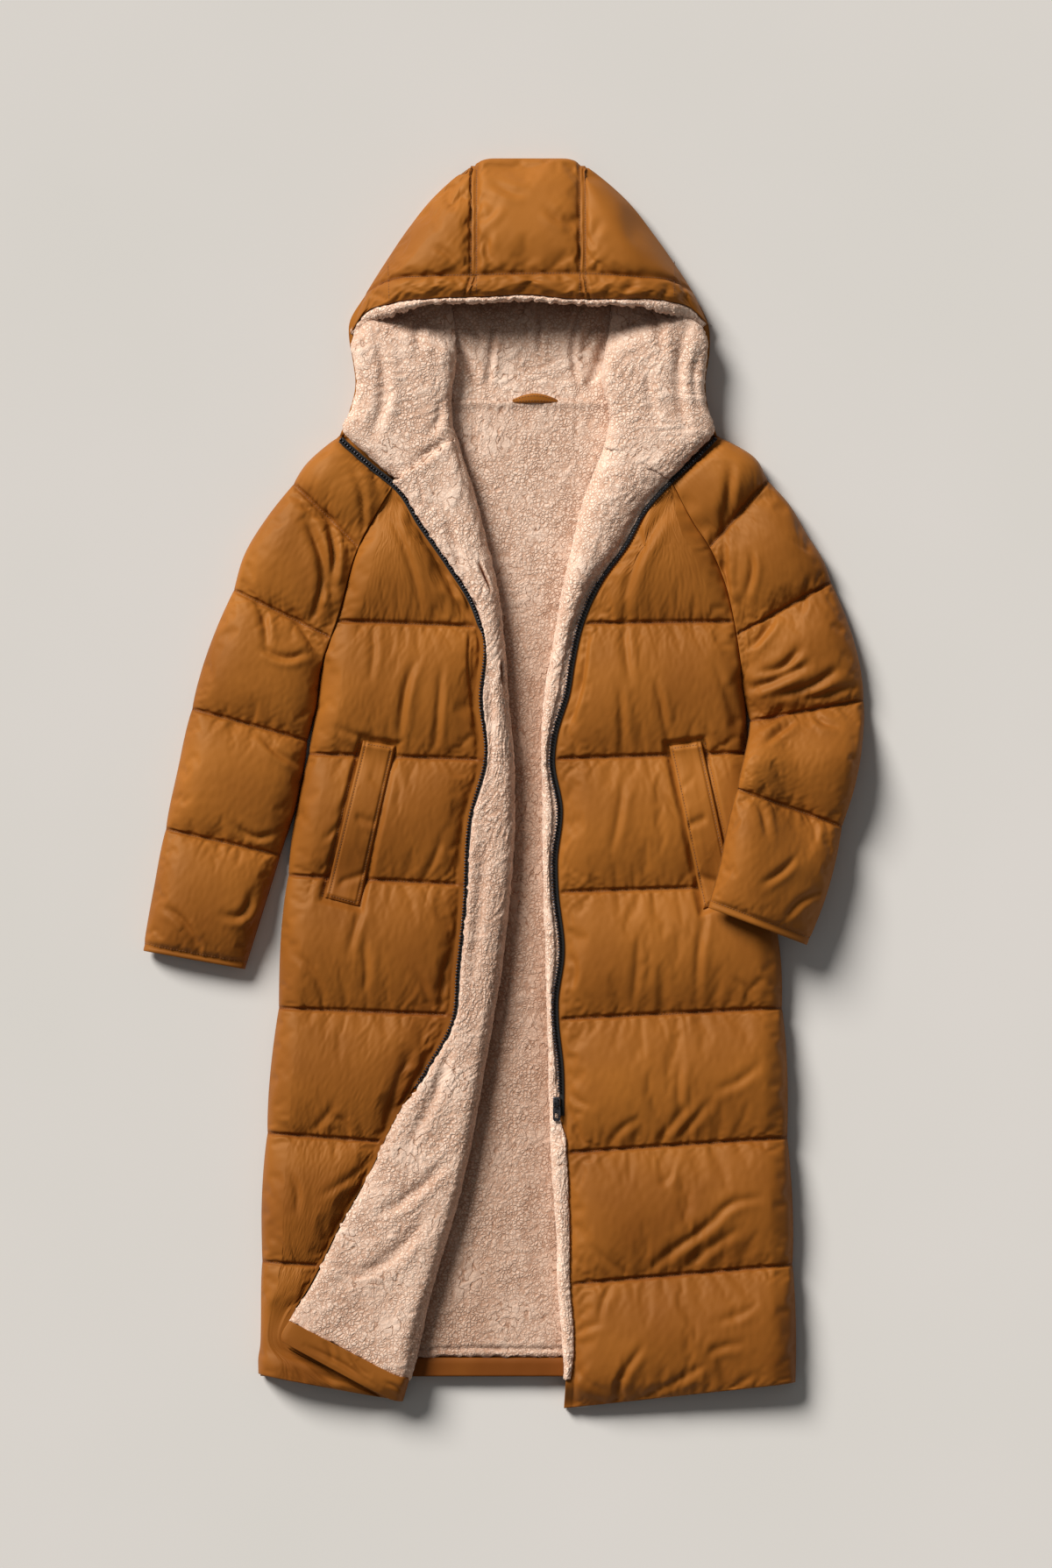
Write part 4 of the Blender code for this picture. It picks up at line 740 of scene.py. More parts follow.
def swell(patches):
    # swells every quilted patch at once; each keeps its seams, its rims and its hidden parts where they are
    made = {}
    shake = np.random.RandomState(3)
    for name, patch in patches.items():
        grid, pinned = patch["grid"].copy(), patch["pinned"]
        grid[..., 2] += np.where(pinned, 0.0, shake.uniform(-0.25, 0.25, pinned.shape))
        rows, cols = pinned.shape
        top = np.arange(rows * cols).reshape(rows, cols)
        quads = np.stack([top[:-1, :-1], top[1:, :-1], top[1:, 1:], top[:-1, 1:]], -1).reshape(-1, 4)
        outward = gridNormals(grid)[rows // 2, cols // 2, 2]
        faces = quads.tolist() if outward < 0 else quads[:, ::-1].tolist()
        piece = placed("swelling" + name, grid.reshape(-1, 3), faces, None)
        held = piece.vertex_groups.new(name="held")
        held.add(np.flatnonzero(pinned.ravel()).tolist(), 1.0, "REPLACE")
        cloth = piece.modifiers.new("cloth", "CLOTH")
        how = cloth.settings
        how.quality = simSettings["quality"]
        how.mass = simSettings["mass"]
        how.tension_stiffness = how.compression_stiffness = simSettings["tension"]
        how.shear_stiffness = simSettings["tension"] * 0.5
        how.bending_stiffness = simSettings["bending"]
        how.air_damping = 2.0
        how.use_pressure = True
        how.uniform_pressure_force = patch["pressure"]
        how.shrink_min = -patch["excess"]
        how.vertex_group_mass = "held"
        how.pin_stiffness = 1.0
        how.effector_weights.gravity = 0
        cloth.collision_settings.use_collision = False
        cloth.point_cache.frame_start = 1
        cloth.point_cache.frame_end = simSettings["frames"]
        made[name] = piece
    for step in range(1, simSettings["frames"] + 1):
        bpy.context.scene.frame_set(step)
    view = bpy.context.evaluated_depsgraph_get()
    swollen = {}
    for name, piece in made.items():
        shape = piece.evaluated_get(view).data
        co = np.zeros(len(shape.vertices) * 3)
        shape.vertices.foreach_get("co", co)
        start = patches[name]["grid"]
        moved = co.reshape(start.shape) / unit - start
        size = np.linalg.norm(moved, axis=-1, keepdims=True)
        cap = patches[name]["cap"]
        moved *= np.minimum(1.0, cap / np.maximum(size, 1e-6))
        swollen[name] = start + np.where(patches[name]["pinned"][..., None], 0.0, moved)
        print("swollen", name, "mean lift", round(float(moved[..., 2].mean()), 2))
    for piece in made.values():
        bpy.data.objects.remove(piece)
    bpy.context.scene.frame_set(1)
    return swollen


def puckers(grid, near, side, deep, seed, reach=13.0, pitch=11.0):
    # the small gathers that a row of stitches pulls into the cloth, straight across the seam and soon gone
    u, _ = arcs(grid)
    drift = softNoise(u / 40.0, side * 3.7, seed) * near / 30.0
    wave = softNoise(u / pitch + drift, side * 7.3 + near / 90.0, seed + 5.5)
    finest = softNoise(u / (0.5 * pitch) + drift, side * 5.1, seed + 9.5)
    length = reach * (1.0 + 0.9 * softNoise(u / (1.4 * pitch), side * 2.3, seed + 2.5))
    gathers = 0.35 - (1 - np.abs(wave)) ** 2.5
    small = 0.3 - (1 - np.abs(finest)) ** 2.5
    lift = gathers * np.exp(-near / np.maximum(length, 2.5)) + 0.4 * small * np.exp(-near / (0.45 * reach))
    return deep * lift * (1 - np.exp(-near / 1.8))


def crumples(grid, deep, seed):
    # long soft folds that wander over a filled panel
    x, y = grid[..., 0], grid[..., 1]
    bent = softNoise(x / 80.0, y / 80.0, seed) * 1.4
    long = softNoise((x * 0.8 + y * 0.35) / 30.0 + bent, (y - x * 0.3) / 90.0, seed + 3.3)
    cross = softNoise((x - y * 0.5) / 22.0 - bent, (y + x * 0.6) / 60.0, seed + 8.1)
    where = smoothstep(0.5 + 0.9 * softNoise(x / 55.0, y / 55.0, seed + 13.0))
    return deep * where * ((1 - np.abs(long)) ** 2.6 - 0.3 + 0.35 * cross)


def channelMarks(rows, levels):
    # for each row: how far it is from its nearest quilt seam in mm, and a number for that seam's side
    seams = [level[1] for level in levels if level[0] != "yoke"]
    near, side = [], []
    for values, *_ in rows:
        k = max(i for i in range(len(seams) - 1) if i == 0 or values[0] <= seams[i] + 1e-6)
        up, down = seams[k] - values[0], values[0] - seams[k + 1] + (18.0 if k == len(seams) - 2 else 0.0)
        near.append(max(0.0, min(up, down)))
        side.append(k + (0.0 if up <= down else 0.5))
    return np.array(near), np.array(side)


def spread(values, cols):
    return np.repeat(np.asarray(values, dtype=float)[:, None], cols, axis=1)


def finish(grid, near, side, rims, look):
    # one finer grid with its seam grooves, puckers, long folds and listed creases
    fine = finer(grid)
    near, side, rims = finer(near), finer(side), np.clip(finer(rims), 0.0, 1.0)
    near = np.maximum(near, 0)
    side = np.round(side * 2) / 2
    normal = upNormals(fine)
    lift = -look["groove"] * np.exp(-(near / 2.3) ** 2)
    lift += puckers(fine, near, side, look["pucker"], look["seed"])
    away = 1 - np.exp(-near / 14.0)
    lift += crumples(fine, look["crumple"], look["seed"]) * away
    lift -= crease(fine, look["creases"]) * (0.3 + 0.7 * away) * look.get("creasing", 1.0)
    if "pocket" in look:
        # the filling is thinner under the welt, and the row of stitches beside its opening pulls the cloth in
        corners = pocketLook[look["pocket"]]
        x, y = fine[..., 0], fine[..., 1]
        inside = insideQuad(x, y, corners)
        flat = smoothstep((inside + 9.0) / 9.0)
        lift = mix(lift, -2.0, flat) - 3.5 * flat
        a, d = np.array(corners[0]), np.array(corners[3])
        way = (d - a) / np.linalg.norm(d - a)
        along = (x - a[0]) * way[0] + (y - a[1]) * way[1]
        off = np.hypot(x - a[0] - along * way[0], y - a[1] - along * way[1])
        length = np.linalg.norm(d - a)
        lift -= 1.6 * np.exp(-((off - 4.2) / 1.5) ** 2) * ((along > -2) & (along < length + 2) & (inside < 0))
    shaped = fine + normal * (lift * rims)[..., None]
    for x, y, reach in look.get("eased", ()):
        # the cloth is drawn smooth where the simulation leaves it bunched
        share = np.exp(-(((fine[1:-1, 1:-1, 0] - x) / reach) ** 2 + ((fine[1:-1, 1:-1, 1] - y) / reach) ** 2))
        for _ in range(40):
            mean = 0.25 * (shaped[:-2, 1:-1] + shaped[2:, 1:-1] + shaped[1:-1, :-2] + shaped[1:-1, 2:])
            shaped[1:-1, 1:-1] += share[..., None] * (mean - shaped[1:-1, 1:-1])
    shaped[..., 2] = np.maximum(shaped[..., 2], 0.0)
    return shaped, near


# each pocket: its four corners, the opening running from the first to the last
pocketLook = {
    "right": ((-167.5, 51.5), (-129.2, 45.1), (-172.2, -147), (-213.2, -136.5)),
    "left": ((237, 50.5), (198.5, 45.1), (239.4, -150.2), (277, -136.5)),
}

leftFrontLook = {
    "creasing": 0.75,
    "pocket": "left",
    "placket": 5.6,
    "rowSpacing": 5.2,
    "columns": 54,
    "puff": 12.0,
    "pressure": 3.4,
    "excess": 0.014,
    "cap": 12.0,
    "groove": 2.2,
    "pucker": 2.2,
    "crumple": 0.32,
    "seed": 1.5,
    # width, depth, then the fold's points from its start to its end
    "creases": (
        (3.2, 4, 101.1, 190, 99.6, 165.9, 95.6, 133.8, 89.6, 98.7, 77.5, 68.5),
        (4.5, 4, 143.5, 203.9, 145.4, 161.7, 152, 121.9),
        (4.5, 3.6, 137.9, 119.5, 142.6, 77.3, 142.6, 31.4),
        (6.5, 6.5, 195, 330, 175, 300, 157, 270, 148, 238, 143.5, 203),
        (4.5, 3, 144.5, 16.4, 139.8, -35.2, 128.1, -86.7),
        (4, 3.8, 182, 124.2, 189.5, 91.4, 197.9, 49.2),
        (4, 3, 240.6, 70.3, 247.6, 53.9, 261.7, 44.5),
        (5, 3.6, 97.6, 142.9, 83.5, 96.1, 74.2, 53.9),
        (4, 3, 189, -11.7, 201.7, -30.5, 212.5, -49.2),
        (4, 2.8, 205.4, 21.1, 210.1, 2.3, 212.9, -25.8),
        (4.5, 3.4, 240.6, -152.4, 233.6, -199.2, 230.7, -250.8),
        (4.5, 3.2, 162.3, -175.8, 160.4, -218, 153.9, -274.2),
        (4, 3, 71.8, -199.2, 88.2, -218, 78.9, -250.8),
        (4, 3, 275.7, -232.1, 296.8, -250.8, 301.5, -269.6),
        (4.5, 3, 252.3, 142.9, 271, 100.8, 284.2, 49.2),
        (4, 3, 78.5, -367.2, 88.3, -380.4, 104.7, -385.3),
        (4, 3, 79.1, -400.1, 88.3, -413.2, 94.9, -432.9),
        (4.5, 3.6, 126.1, -439.4, 135.9, -416.5, 160.5, -400.1),
        (5, 4.2, 181.8, -439.4, 199.9, -409.9, 222.9, -382),
        (4.5, 3.6, 201.5, -432.9, 222.9, -409.9, 245.8, -380.4),
        (4.5, 3, 213, -327.9, 208.1, -360.7, 211.4, -393.5),
        (5, 3, 252.4, -367.2, 281.9, -357.4, 308.2, -334.4),
        (4.5, 3.2, 94.9, -544.4, 124.4, -574, 157.2, -593.6),
        (5, 5, 163.8, -592, 203.2, -557.6, 242.6, -531.3, 278.6, -495.2),
        (5, 3.8, 203.2, -592, 242.6, -557.6, 285.2, -531.3),
        (4.5, 3.2, 255.7, -511.6, 281.9, -498.5, 308.2, -495.2),
        (4, 2.6, 186.8, -478.8, 199.9, -472.2, 203.2, -452.6),
        (4, 3.2, 114.6, -646.1, 117.9, -619.9, 129.3, -601.8),
        (4, 2.8, 85, -660.9, 101.5, -649.4, 117.9, -646.1),
        (4, 4.4, 136.9, -744.6, 138.2, -711.8, 167.1, -672.4),
        (4.5, 3.4, 157.2, -741.3, 203.2, -718.3, 245.8, -692.1),
        (4.5, 3.2, 242.6, -685.5, 255.7, -674, 288.5, -669.1),
        (4.5, 3, 255.7, -642.9, 281.9, -636.3, 301.6, -623.2),
        (4.5, 2.8, 85, -692.1, 98.2, -718.3, 124.4, -728.2),
        (4.5, 3, 255.7, -741.3, 268.8, -728.2, 301.6, -705.2),
    ),
}

rightFrontLook = {
    "creasing": 0.85,
    "pocket": "right",
    "placket": 8.8,
    "rowSpacing": 5.2,
    "columns": 54,
    "puff": 12.0,
    "pressure": 3.4,
    "excess": 0.014,
    "cap": 12.0,
    "groove": 2.2,
    "pucker": 2.2,
    "crumple": 0.32,
    "seed": 4.5,
    "eased": ((-277.0, -650.0, 16.0),),
    "creases": (
        (1.7, 2.8, -39.6, 187, -42, 155.4, -41.2, 131, -37.2, 104, -33, 70),
        (3, 3, -69.7, 263.6, -58.8, 227.3, -41, 192.4),
        (4.5, 3.2, -134.7, 318.7, -111.3, 269.5, -96.3, 201.5),
        (4.5, 3.4, -104.2, 314, -73.8, 260.1, -52.7, 203.9),
        (4, 3.6, -38.6, 187.5, -36.3, 124.2, -28.8, 32.8),
        (4.5, 4.6, -105.6, 147.6, -117.8, 114.8, -124.4, 53.9),
        (4, 3.2, -73.8, 138.3, -77.5, 86.7, -82.2, 31.4),
        (4, 2.6, -158.1, 189.8, -153.5, 161.7, -159.1, 124.2),
        (4, 2.8, -200.3, 68, -172.2, 53.9, -153.5, 58.6),
        (3.5, 2.8, -198, -39.9, -188.6, -21.1, -177.8, -9.4),
        (3.5, 2.8, -214.4, -68, -200.3, -53.9, -191, -44.5),
        (3.5, 2.6, -218.1, -105.5, -205, -91.4, -200.3, -77.4),
        (4, 3, -41.9, -21.1, -49.4, -68, -57.4, -123.3),
        (4, 3, -106.6, -126.6, -85.5, -100.8, -71.4, -58.6),
        (5, 4.2, -56.9, -189.9, -71, -227.4, -73.8, -271.9),
        (4.5, 3.4, -165.2, -145.3, -177.8, -171.1, -183.9, -203.9),
        (5, 3.4, -166.6, -185.2, -162.8, -232.1, -168.5, -250.8),
        (4.5, 3.2, -106.6, -222.7, -90.2, -250.8, -86.9, -274.2),
        (4.5, 3, -256.6, -199.2, -228.4, -220.3, -209.7, -264.9),
        (5, 4, -108.6, -319.4, -129.5, -364.4, -140.7, -425.4),
        (4.5, 4.2, -205, -396.5, -187.3, -407.7, -187.3, -433.5),
        (4, 3, -275.7, -402.9, -259.6, -415.8, -250, -425.4),
        (4.5, 3, -233.9, -420.6, -211.4, -399.7, -201.8, -380.4),
        (4.5, 2.8, -160, -451.1, -179.3, -470.4, -217.9, -492.9),
        (4.5, 3, -280.5, -534.7, -262.8, -557.2, -253.2, -579.7),
        (4.5, 2.8, -256.4, -464, -245.2, -483.3, -246.8, -515.4),
        (4.5, 3, -288.6, -615, -278.9, -644, -259.6, -663.3),
    ),
}


def frontHeights(s, cover, flat, full, openSide, puff):
    roundEnd = min(28.0, 0.35 * cover)
    sideTop = mix(frontSeam - 2.0, 14.0, openSide)
    height = mix(sideTop, frontSeam, quarterRound(s / roundEnd))
    rise = quarterRound(s / (1.4 * roundEnd)) * quarterRound((flat - s) / (0.3 * flat + 1))
    return height + puff * full * rise


def frontRow(row, cover, end, full, openSide, look):
    # the outer and inner points of a front from its side seam to its covered edge, and what of them is held
    cover = max(cover, 6.0)
    full = full * smoothstep((cover - 27.0) / 80.0)
    roundEnd = min(28.0, 0.35 * cover)
    flat = cover - min(look["placket"], 0.3 * cover)
    s = np.concatenate([roundEnd * np.array([0.0, 0.16, 0.36, 0.62]),
                        mix(roundEnd * 0.85, flat, np.linspace(0, 1, look["columns"])),
                        mix(flat, cover, np.array([0.33, 0.66, 1.0])), mix(cover, end, np.array([0.5, 1.0]))])
    bulge = np.zeros(len(s))
    bulge[0] = -3.2 * full * openSide
    bulge[1:3] = bulge[0] * np.array([0.8, 0.4])
    ground = row.at(s + bulge)
    drop = droop(ground[:, 1])
    high = frontHeights(s, cover, flat, full, openSide, look["puff"]) - drop
    low = mix(mix(frontBase, backThick - 4.4, openSide), frontBase, smoothstep(s / 24.0)) - drop
    outer = np.column_stack([ground, high])
    inner = np.column_stack([ground, low])
    held = (s <= 0) | (s >= flat - 0.01)
    return outer, inner, held


def leftFrame(values):
    ySide, yFold = values
    sideX = raglanL(ySide) - seamGap if ySide > leftRaglan[-1][1] else sideL(ySide)
    row = Row((sideX, ySide), (foldL(yFold), yFold))
    zipAt = row.crossing(zipL)
    coverEnd = zipAt + min(4.6, 0.35 * (row.length - zipAt))
    return row, zipAt, coverEnd, row.length - min(10.0, 0.5 * (row.length - coverEnd))


def rightFrame(values):
    ySide, yFold, yEdge = values
    sideX = raglanR(ySide) + seamGap if ySide > rightRaglan[-1][1] else sideR(ySide)
    row = Row((sideX, ySide), (foldR(yFold), yFold))
    fold = row.length - fleeceThick - 1.4
    start = row.at(fold - foldWall - 0.3)
    return row, fold, Row(start, (edgeR(yEdge), yEdge))


def leftFrontPatch():
    look = leftFrontLook
    rows = channelRows(leftLevels, look["rowSpacing"])
    outer, inner, held = [], [], []
    for values, w, _, full in rows:
        row, zipAt, _, hidden = leftFrame(values)
        openSide = smoothstep((leftRaglan[-1][1] - values[0]) / 30.0)
        out, into, fixed = frontRow(row, zipAt, hidden, full, openSide, look)
        outer.append(out)
        inner.append(into)
        held.append(fixed | (w == 0.0) | (len(outer) == len(rows)))
    return rows, np.array(outer), np.array(inner), np.array(held)


def rightFrontPatch():
    look = rightFrontLook
    rows = channelRows(rightLevels, look["rowSpacing"])
    outer, inner, held = [], [], []
    for values, w, _, full in rows:
        row, fold, lapel = rightFrame(values)
        cover = min(row.crossing(edgeR), fold - foldWall - 4)
        openSide = smoothstep((rightRaglan[-1][1] - values[0]) / 30.0)
        out, into, fixed = frontRow(row, cover, fold - foldWall - 0.3, full, openSide, look)
        drop = droop(row.at(fold)[1])
        wall = [(*row.at(fold + s), z - drop) for s, z in
                ((-foldWall, frontSeam + 0.4), (0.4 - foldWall, frontSeam + 1.1),
                 (-foldWall, flapBase - 0.4))]
        turn = [(*row.at(fold + s), z - drop) for s, z in
                ((-2.5, frontBase + 2), (0.0, frontSeam), (-2.5, flapTop - 2))]
        tuck = 4.5 - 4.0 * smoothstep((row.at(fold)[1] - 170.0) / 25.0)
        flap = lapel.at(max(lapel.length - tuck, 0.8 * lapel.length) * np.linspace(0, 1, 12))
        outer.append(np.concatenate([out, wall, np.column_stack([flap, flapBase - droop(flap[:, 1])])]))
        inner.append(np.concatenate([into, turn, np.column_stack([flap, flapTop - droop(flap[:, 1])])]))
        fixed = np.concatenate([fixed, np.ones(3 + len(flap), dtype=bool)])
        held.append(fixed | (w == 0.0) | (len(outer) == len(rows)))
    return rows, np.array(outer), np.array(inner), np.array(held)


sleeveLook = {
    "rowSpacing": 4.8,
    "topColumns": 40,
    "puff": 15.0,
    "edgeBulge": 3.4,
    "pressure": 3.4,
    "excess": 0.016,
    "cap": 12.0,
    "groove": 2.2,
    "pucker": 2.4,
    "crumple": 0.32,
}
rightSleeveLook = {
    **sleeveLook,
    "creasing": 1.4,
    "seed": 7.5,
    "creases": (
        (5, 5.6, -235.5, 318.7, -216.7, 274.2, -206.4, 225),
        (4.5, 6, -210.6, 323.4, -201.7, 283.6, -204.1, 236.7),
        (4.5, 4.6, -256.6, 210.9, -235.5, 180.5, -218.1, 150),
        (4, 3.6, -221.4, 264.8, -214.4, 241.4, -228.4, 194.5),
        (4, 3, -249.5, 346.9, -228.4, 323.4, -191, 311.7),
        (3.5, 3, -181.6, 379.7, -167.5, 349.2, -166.6, 302.3),
        (3.5, 2.6, -158.1, 396.1, -153.5, 363.3, -144.1, 342.2),
        (4, 3, -298.8, 225, -284.7, 199.2, -282.4, 161.7),
        (4, 3.2, -289.4, 161.7, -261.3, 147.6, -233.1, 157),
        (4, 3, -294.1, 63.3, -270.6, 35.1, -237.8, 21.1),
        (4, 2.8, -322.2, -49.2, -298.8, -68, -268.3, -58.6),
        (4.5, 3.2, -336.3, -157, -310.5, -161.7, -298.8, -128.9),
        (4, 2.8, -406.6, -147.7, -383.1, -161.7, -364.4, -194.5),
    ),
}
leftSleeveLook = {
    **sleeveLook,
    "creasing": 1.2,
    "seed": 10.5,
    "creases": (
        (5, 5.2, 272.9, 382, 269.2, 335.1, 260.7, 283.6),
        (4.5, 4.6, 265.4, 288.3, 262.6, 250.8, 271, 199.2),
        (4, 3.2, 367.6, 246.1, 359.2, 222.6, 355.4, 199.2),
        (5, 6, 296.8, 113.9, 327.3, 124.2, 362.5, 142.9),
        (5, 5.6, 308.6, 133.6, 334.3, 137.3, 355.4, 161.7),
        (5, 5, 327.3, 105.5, 364.8, 112.5, 402.3, 138.3),
        (4.5, 5, 294.5, 161.7, 308.6, 175.8, 327.3, 203.9),
        (4.5, 4.2, 350.7, 100.8, 388.2, 105.5, 423.4, 117.2),
        (4.5, 4.6, 303.9, 68, 327.3, 79.7, 336.7, 96.1),
        (4, 3.4, 313.2, 49.2, 332, 63.3, 350.7, 77.3),
        (4, 3, 364.8, 86.7, 383.5, 72.6, 402.3, 68),
        (4, 3.2, 289.8, -9.4, 308.6, -25.8, 315.6, -63.3),
        (4, 3, 355.4, -25.8, 371.8, -44.5, 374.2, -72.7),
        (4, 2.8, 308.6, -119.5, 332, -105.5, 350.7, -86.7),
        (4, 2.8, 336.7, -161.7, 355.4, -138.3, 383.5, -128.9),
        (4, 3, 294.5, 278.9, 299.2, 255.5, 289.8, 222.6),
    ),
}


def overBody(x, y):
    # how far the left forearm is lifted where it lies over the side of the body
    return 47.0 * mix(0.36, 1.0, smoothstep((sideL(y) - x + 60.0) / 86.0)) * smoothstep((95.0 - y) / 75.0)


def sleevePatch(levels, look, outerEdge, innerEdge, raglan, backRaglan, armpit, lifted):
    outward = 1 if lifted else -1
    rows = channelRows(levels, look["rowSpacing"], 1.0)
    last = len(rows) - 1
    outer, inner, held = [], [], []
    topC = 1 - np.linspace(0, 1, look["topColumns"]) ** 0.9
    bottomC = np.array([0.0, 0.05, 0.12, 0.25, 0.42, 0.6, 0.75, 0.88, 0.955])
    for n, ((yOut, yFront, yBack), w, k, full) in enumerate(rows):
        fromCuff = (levels[-2][1] - levels[-1][1]) * (1 - w) if k == len(levels) - 2 else 99.0
        full = full if n > 1 else 0.0
        cuffStitch = 1.0 - 0.9 * math.exp(-((fromCuff - 7.0) / 3.5) ** 2)
        if fromCuff < 60.0:
            full = max(full, 0.32 * (1 - math.exp(-fromCuff / 6.0))) * cuffStitch
        above = yFront > armpit
        closed = smoothstep((armpit + 2.0 - yFront) / 34.0)
        frontX = raglan(yFront) + outward * seamGap if above else innerEdge(yFront)
        frontX -= outward * 3.6 * full * closed * smoothstep((yFront + 110.0) / 80.0)
        backX = backRaglan(yBack) + outward * seamGap if above else frontX
        o = np.array((outerEdge(yOut) + outward * look["edgeBulge"] * full, yOut), dtype=float)
        a = np.array((frontX, yFront), dtype=float)
        b = np.array((backX, yBack if above else yFront), dtype=float)
        slack = 4.8 if lifted else 0.0
        crown = 26.0 + look["puff"] * full
        seamTop = mix(frontSeam, crown, 0.15)
        lowZ = np.array([(12.2 - 0.4 * slack) * closed, 4.0 * closed, 0, 0, 0, 0, 0, 0.4, 3.0])
        lowZ = lowZ + np.array([0, 0.4, 1, 1, 1, 1, 1, 1, 0.4]) * 4.5 * (1 - full)
        roundTop = (1 - np.abs(2 * topC - 1) ** 3.0) ** 0.5
        tube = mix(13.0, crown, roundTop)
        half = mix(13.0, crown, quarterRound((1 - topC) * 3.2))
        seamed = mix(half, seamTop, smoothstep(1 - topC / 0.45))
        tube[-1] = 12.6 + 0.4 * slack
        highZ = mix(seamed, tube, closed)
        lowXY = b + (o - b) * bottomC[:, None]
        highXY = a + (o - a) * topC[:, None]
        xy = np.concatenate([lowXY, highXY])
        z = np.concatenate([lowZ, highZ])
        lift = overBody(xy[:, 0], xy[:, 1]) if lifted else 0.0
        outer.append(np.column_stack([xy, z + lift]))
        start = 0.09 * closed
        lowIn = np.maximum(start, np.minimum(bottomC, 0.93))
        highIn = np.maximum(start, np.minimum(topC, 0.93))
        rise = (frontBase - 13.2) * (1 - closed) * smoothstep(1 - highIn / 0.6)
        inXY = np.concatenate([b + (o - b) * lowIn[:, None], a + (o - a) * highIn[:, None]])
        lowTop = 13.2 + np.maximum(slack * closed, rise)
        inZ = np.concatenate([np.full(len(lowIn), backThick - slack), lowTop])
        lift = overBody(inXY[:, 0], inXY[:, 1]) if lifted else 0.0
        inner.append(np.column_stack([inXY, inZ + lift]))
        fixed = np.ones(len(z), dtype=bool)
        fixed[len(bottomC) + 1:-1] = False
        held.append(fixed | (w == 0.0) | (n == last) | (fromCuff < 9.0))
    return rows, np.array(outer), np.array(inner), np.array(held)


hoodLook = {
    "eased": ((150.0, 675.0, 22.0), (185.0, 640.0, 22.0), (120.0, 705.0, 18.0)),
    "strip": 3.3,
    "rows": 26,
    "bandRows": 10,
    "sideColumns": 26,
    "middleColumns": 24,
    "pressure": 1.6,
    "excess": 0.025,
    "cap": 6.0,
    "groove": 2.0,
    "pucker": 1.8,
    "crumple": 0.4,
    "seed": 13.5,
    "creases": (
        (4.5, 3, -13.5, 718.9, 13.1, 704.2, 24.8, 705.7),
        (4.5, 3.2, 51.4, 686.5, 66.1, 671.8, 86.7, 668.9),
        (5, 3.6, 104.4, 677.7, 114.7, 689.5, 128, 695.4),
        (4.5, 3, -81.2, 642.3, -63.6, 630.6, -54.7, 615.8),
        (4.5, 2.8, -28.2, 671.8, -16.4, 677.7, -4.6, 692.4),
        (4.5, 2.6, -16.4, 663, -19.4, 642.3, -16.4, 612.9),
        (5, 3, 101.4, 642.3, 116.2, 671.8, 136.8, 683.6),
        (4, 2.6, -60.6, 710.1, -45.9, 727.8, -34.1, 733.7),
        (3, 2.4, -59.1, 605.5, -54.7, 595.2, -47.4, 590.8),
        (3, 2.4, -16.4, 608.5, -12.9, 599.6, -16.4, 596.7),
        (3, 2.4, 36.6, 607, 42.5, 601.1, 51.4, 599.6),
        (3.5, 2.4, 142.7, 583.4, 151.5, 592.3, 163.3, 595.2),
    ),
}


def hoodHeight(x, y):
    middle = 30.5
    side = np.where(x < middle, hoodR(y), hoodL(y))
    across = np.clip((x - side) / (middle - side), 0.0, 1.0)
    down = np.clip((centreStripTop - y) / (centreStripTop - 580.0), 0.0, 1.0)
    return 22.0 + 52.0 * (1 - (1 - across) ** 8) * (1 - (1 - down) ** 2.2)


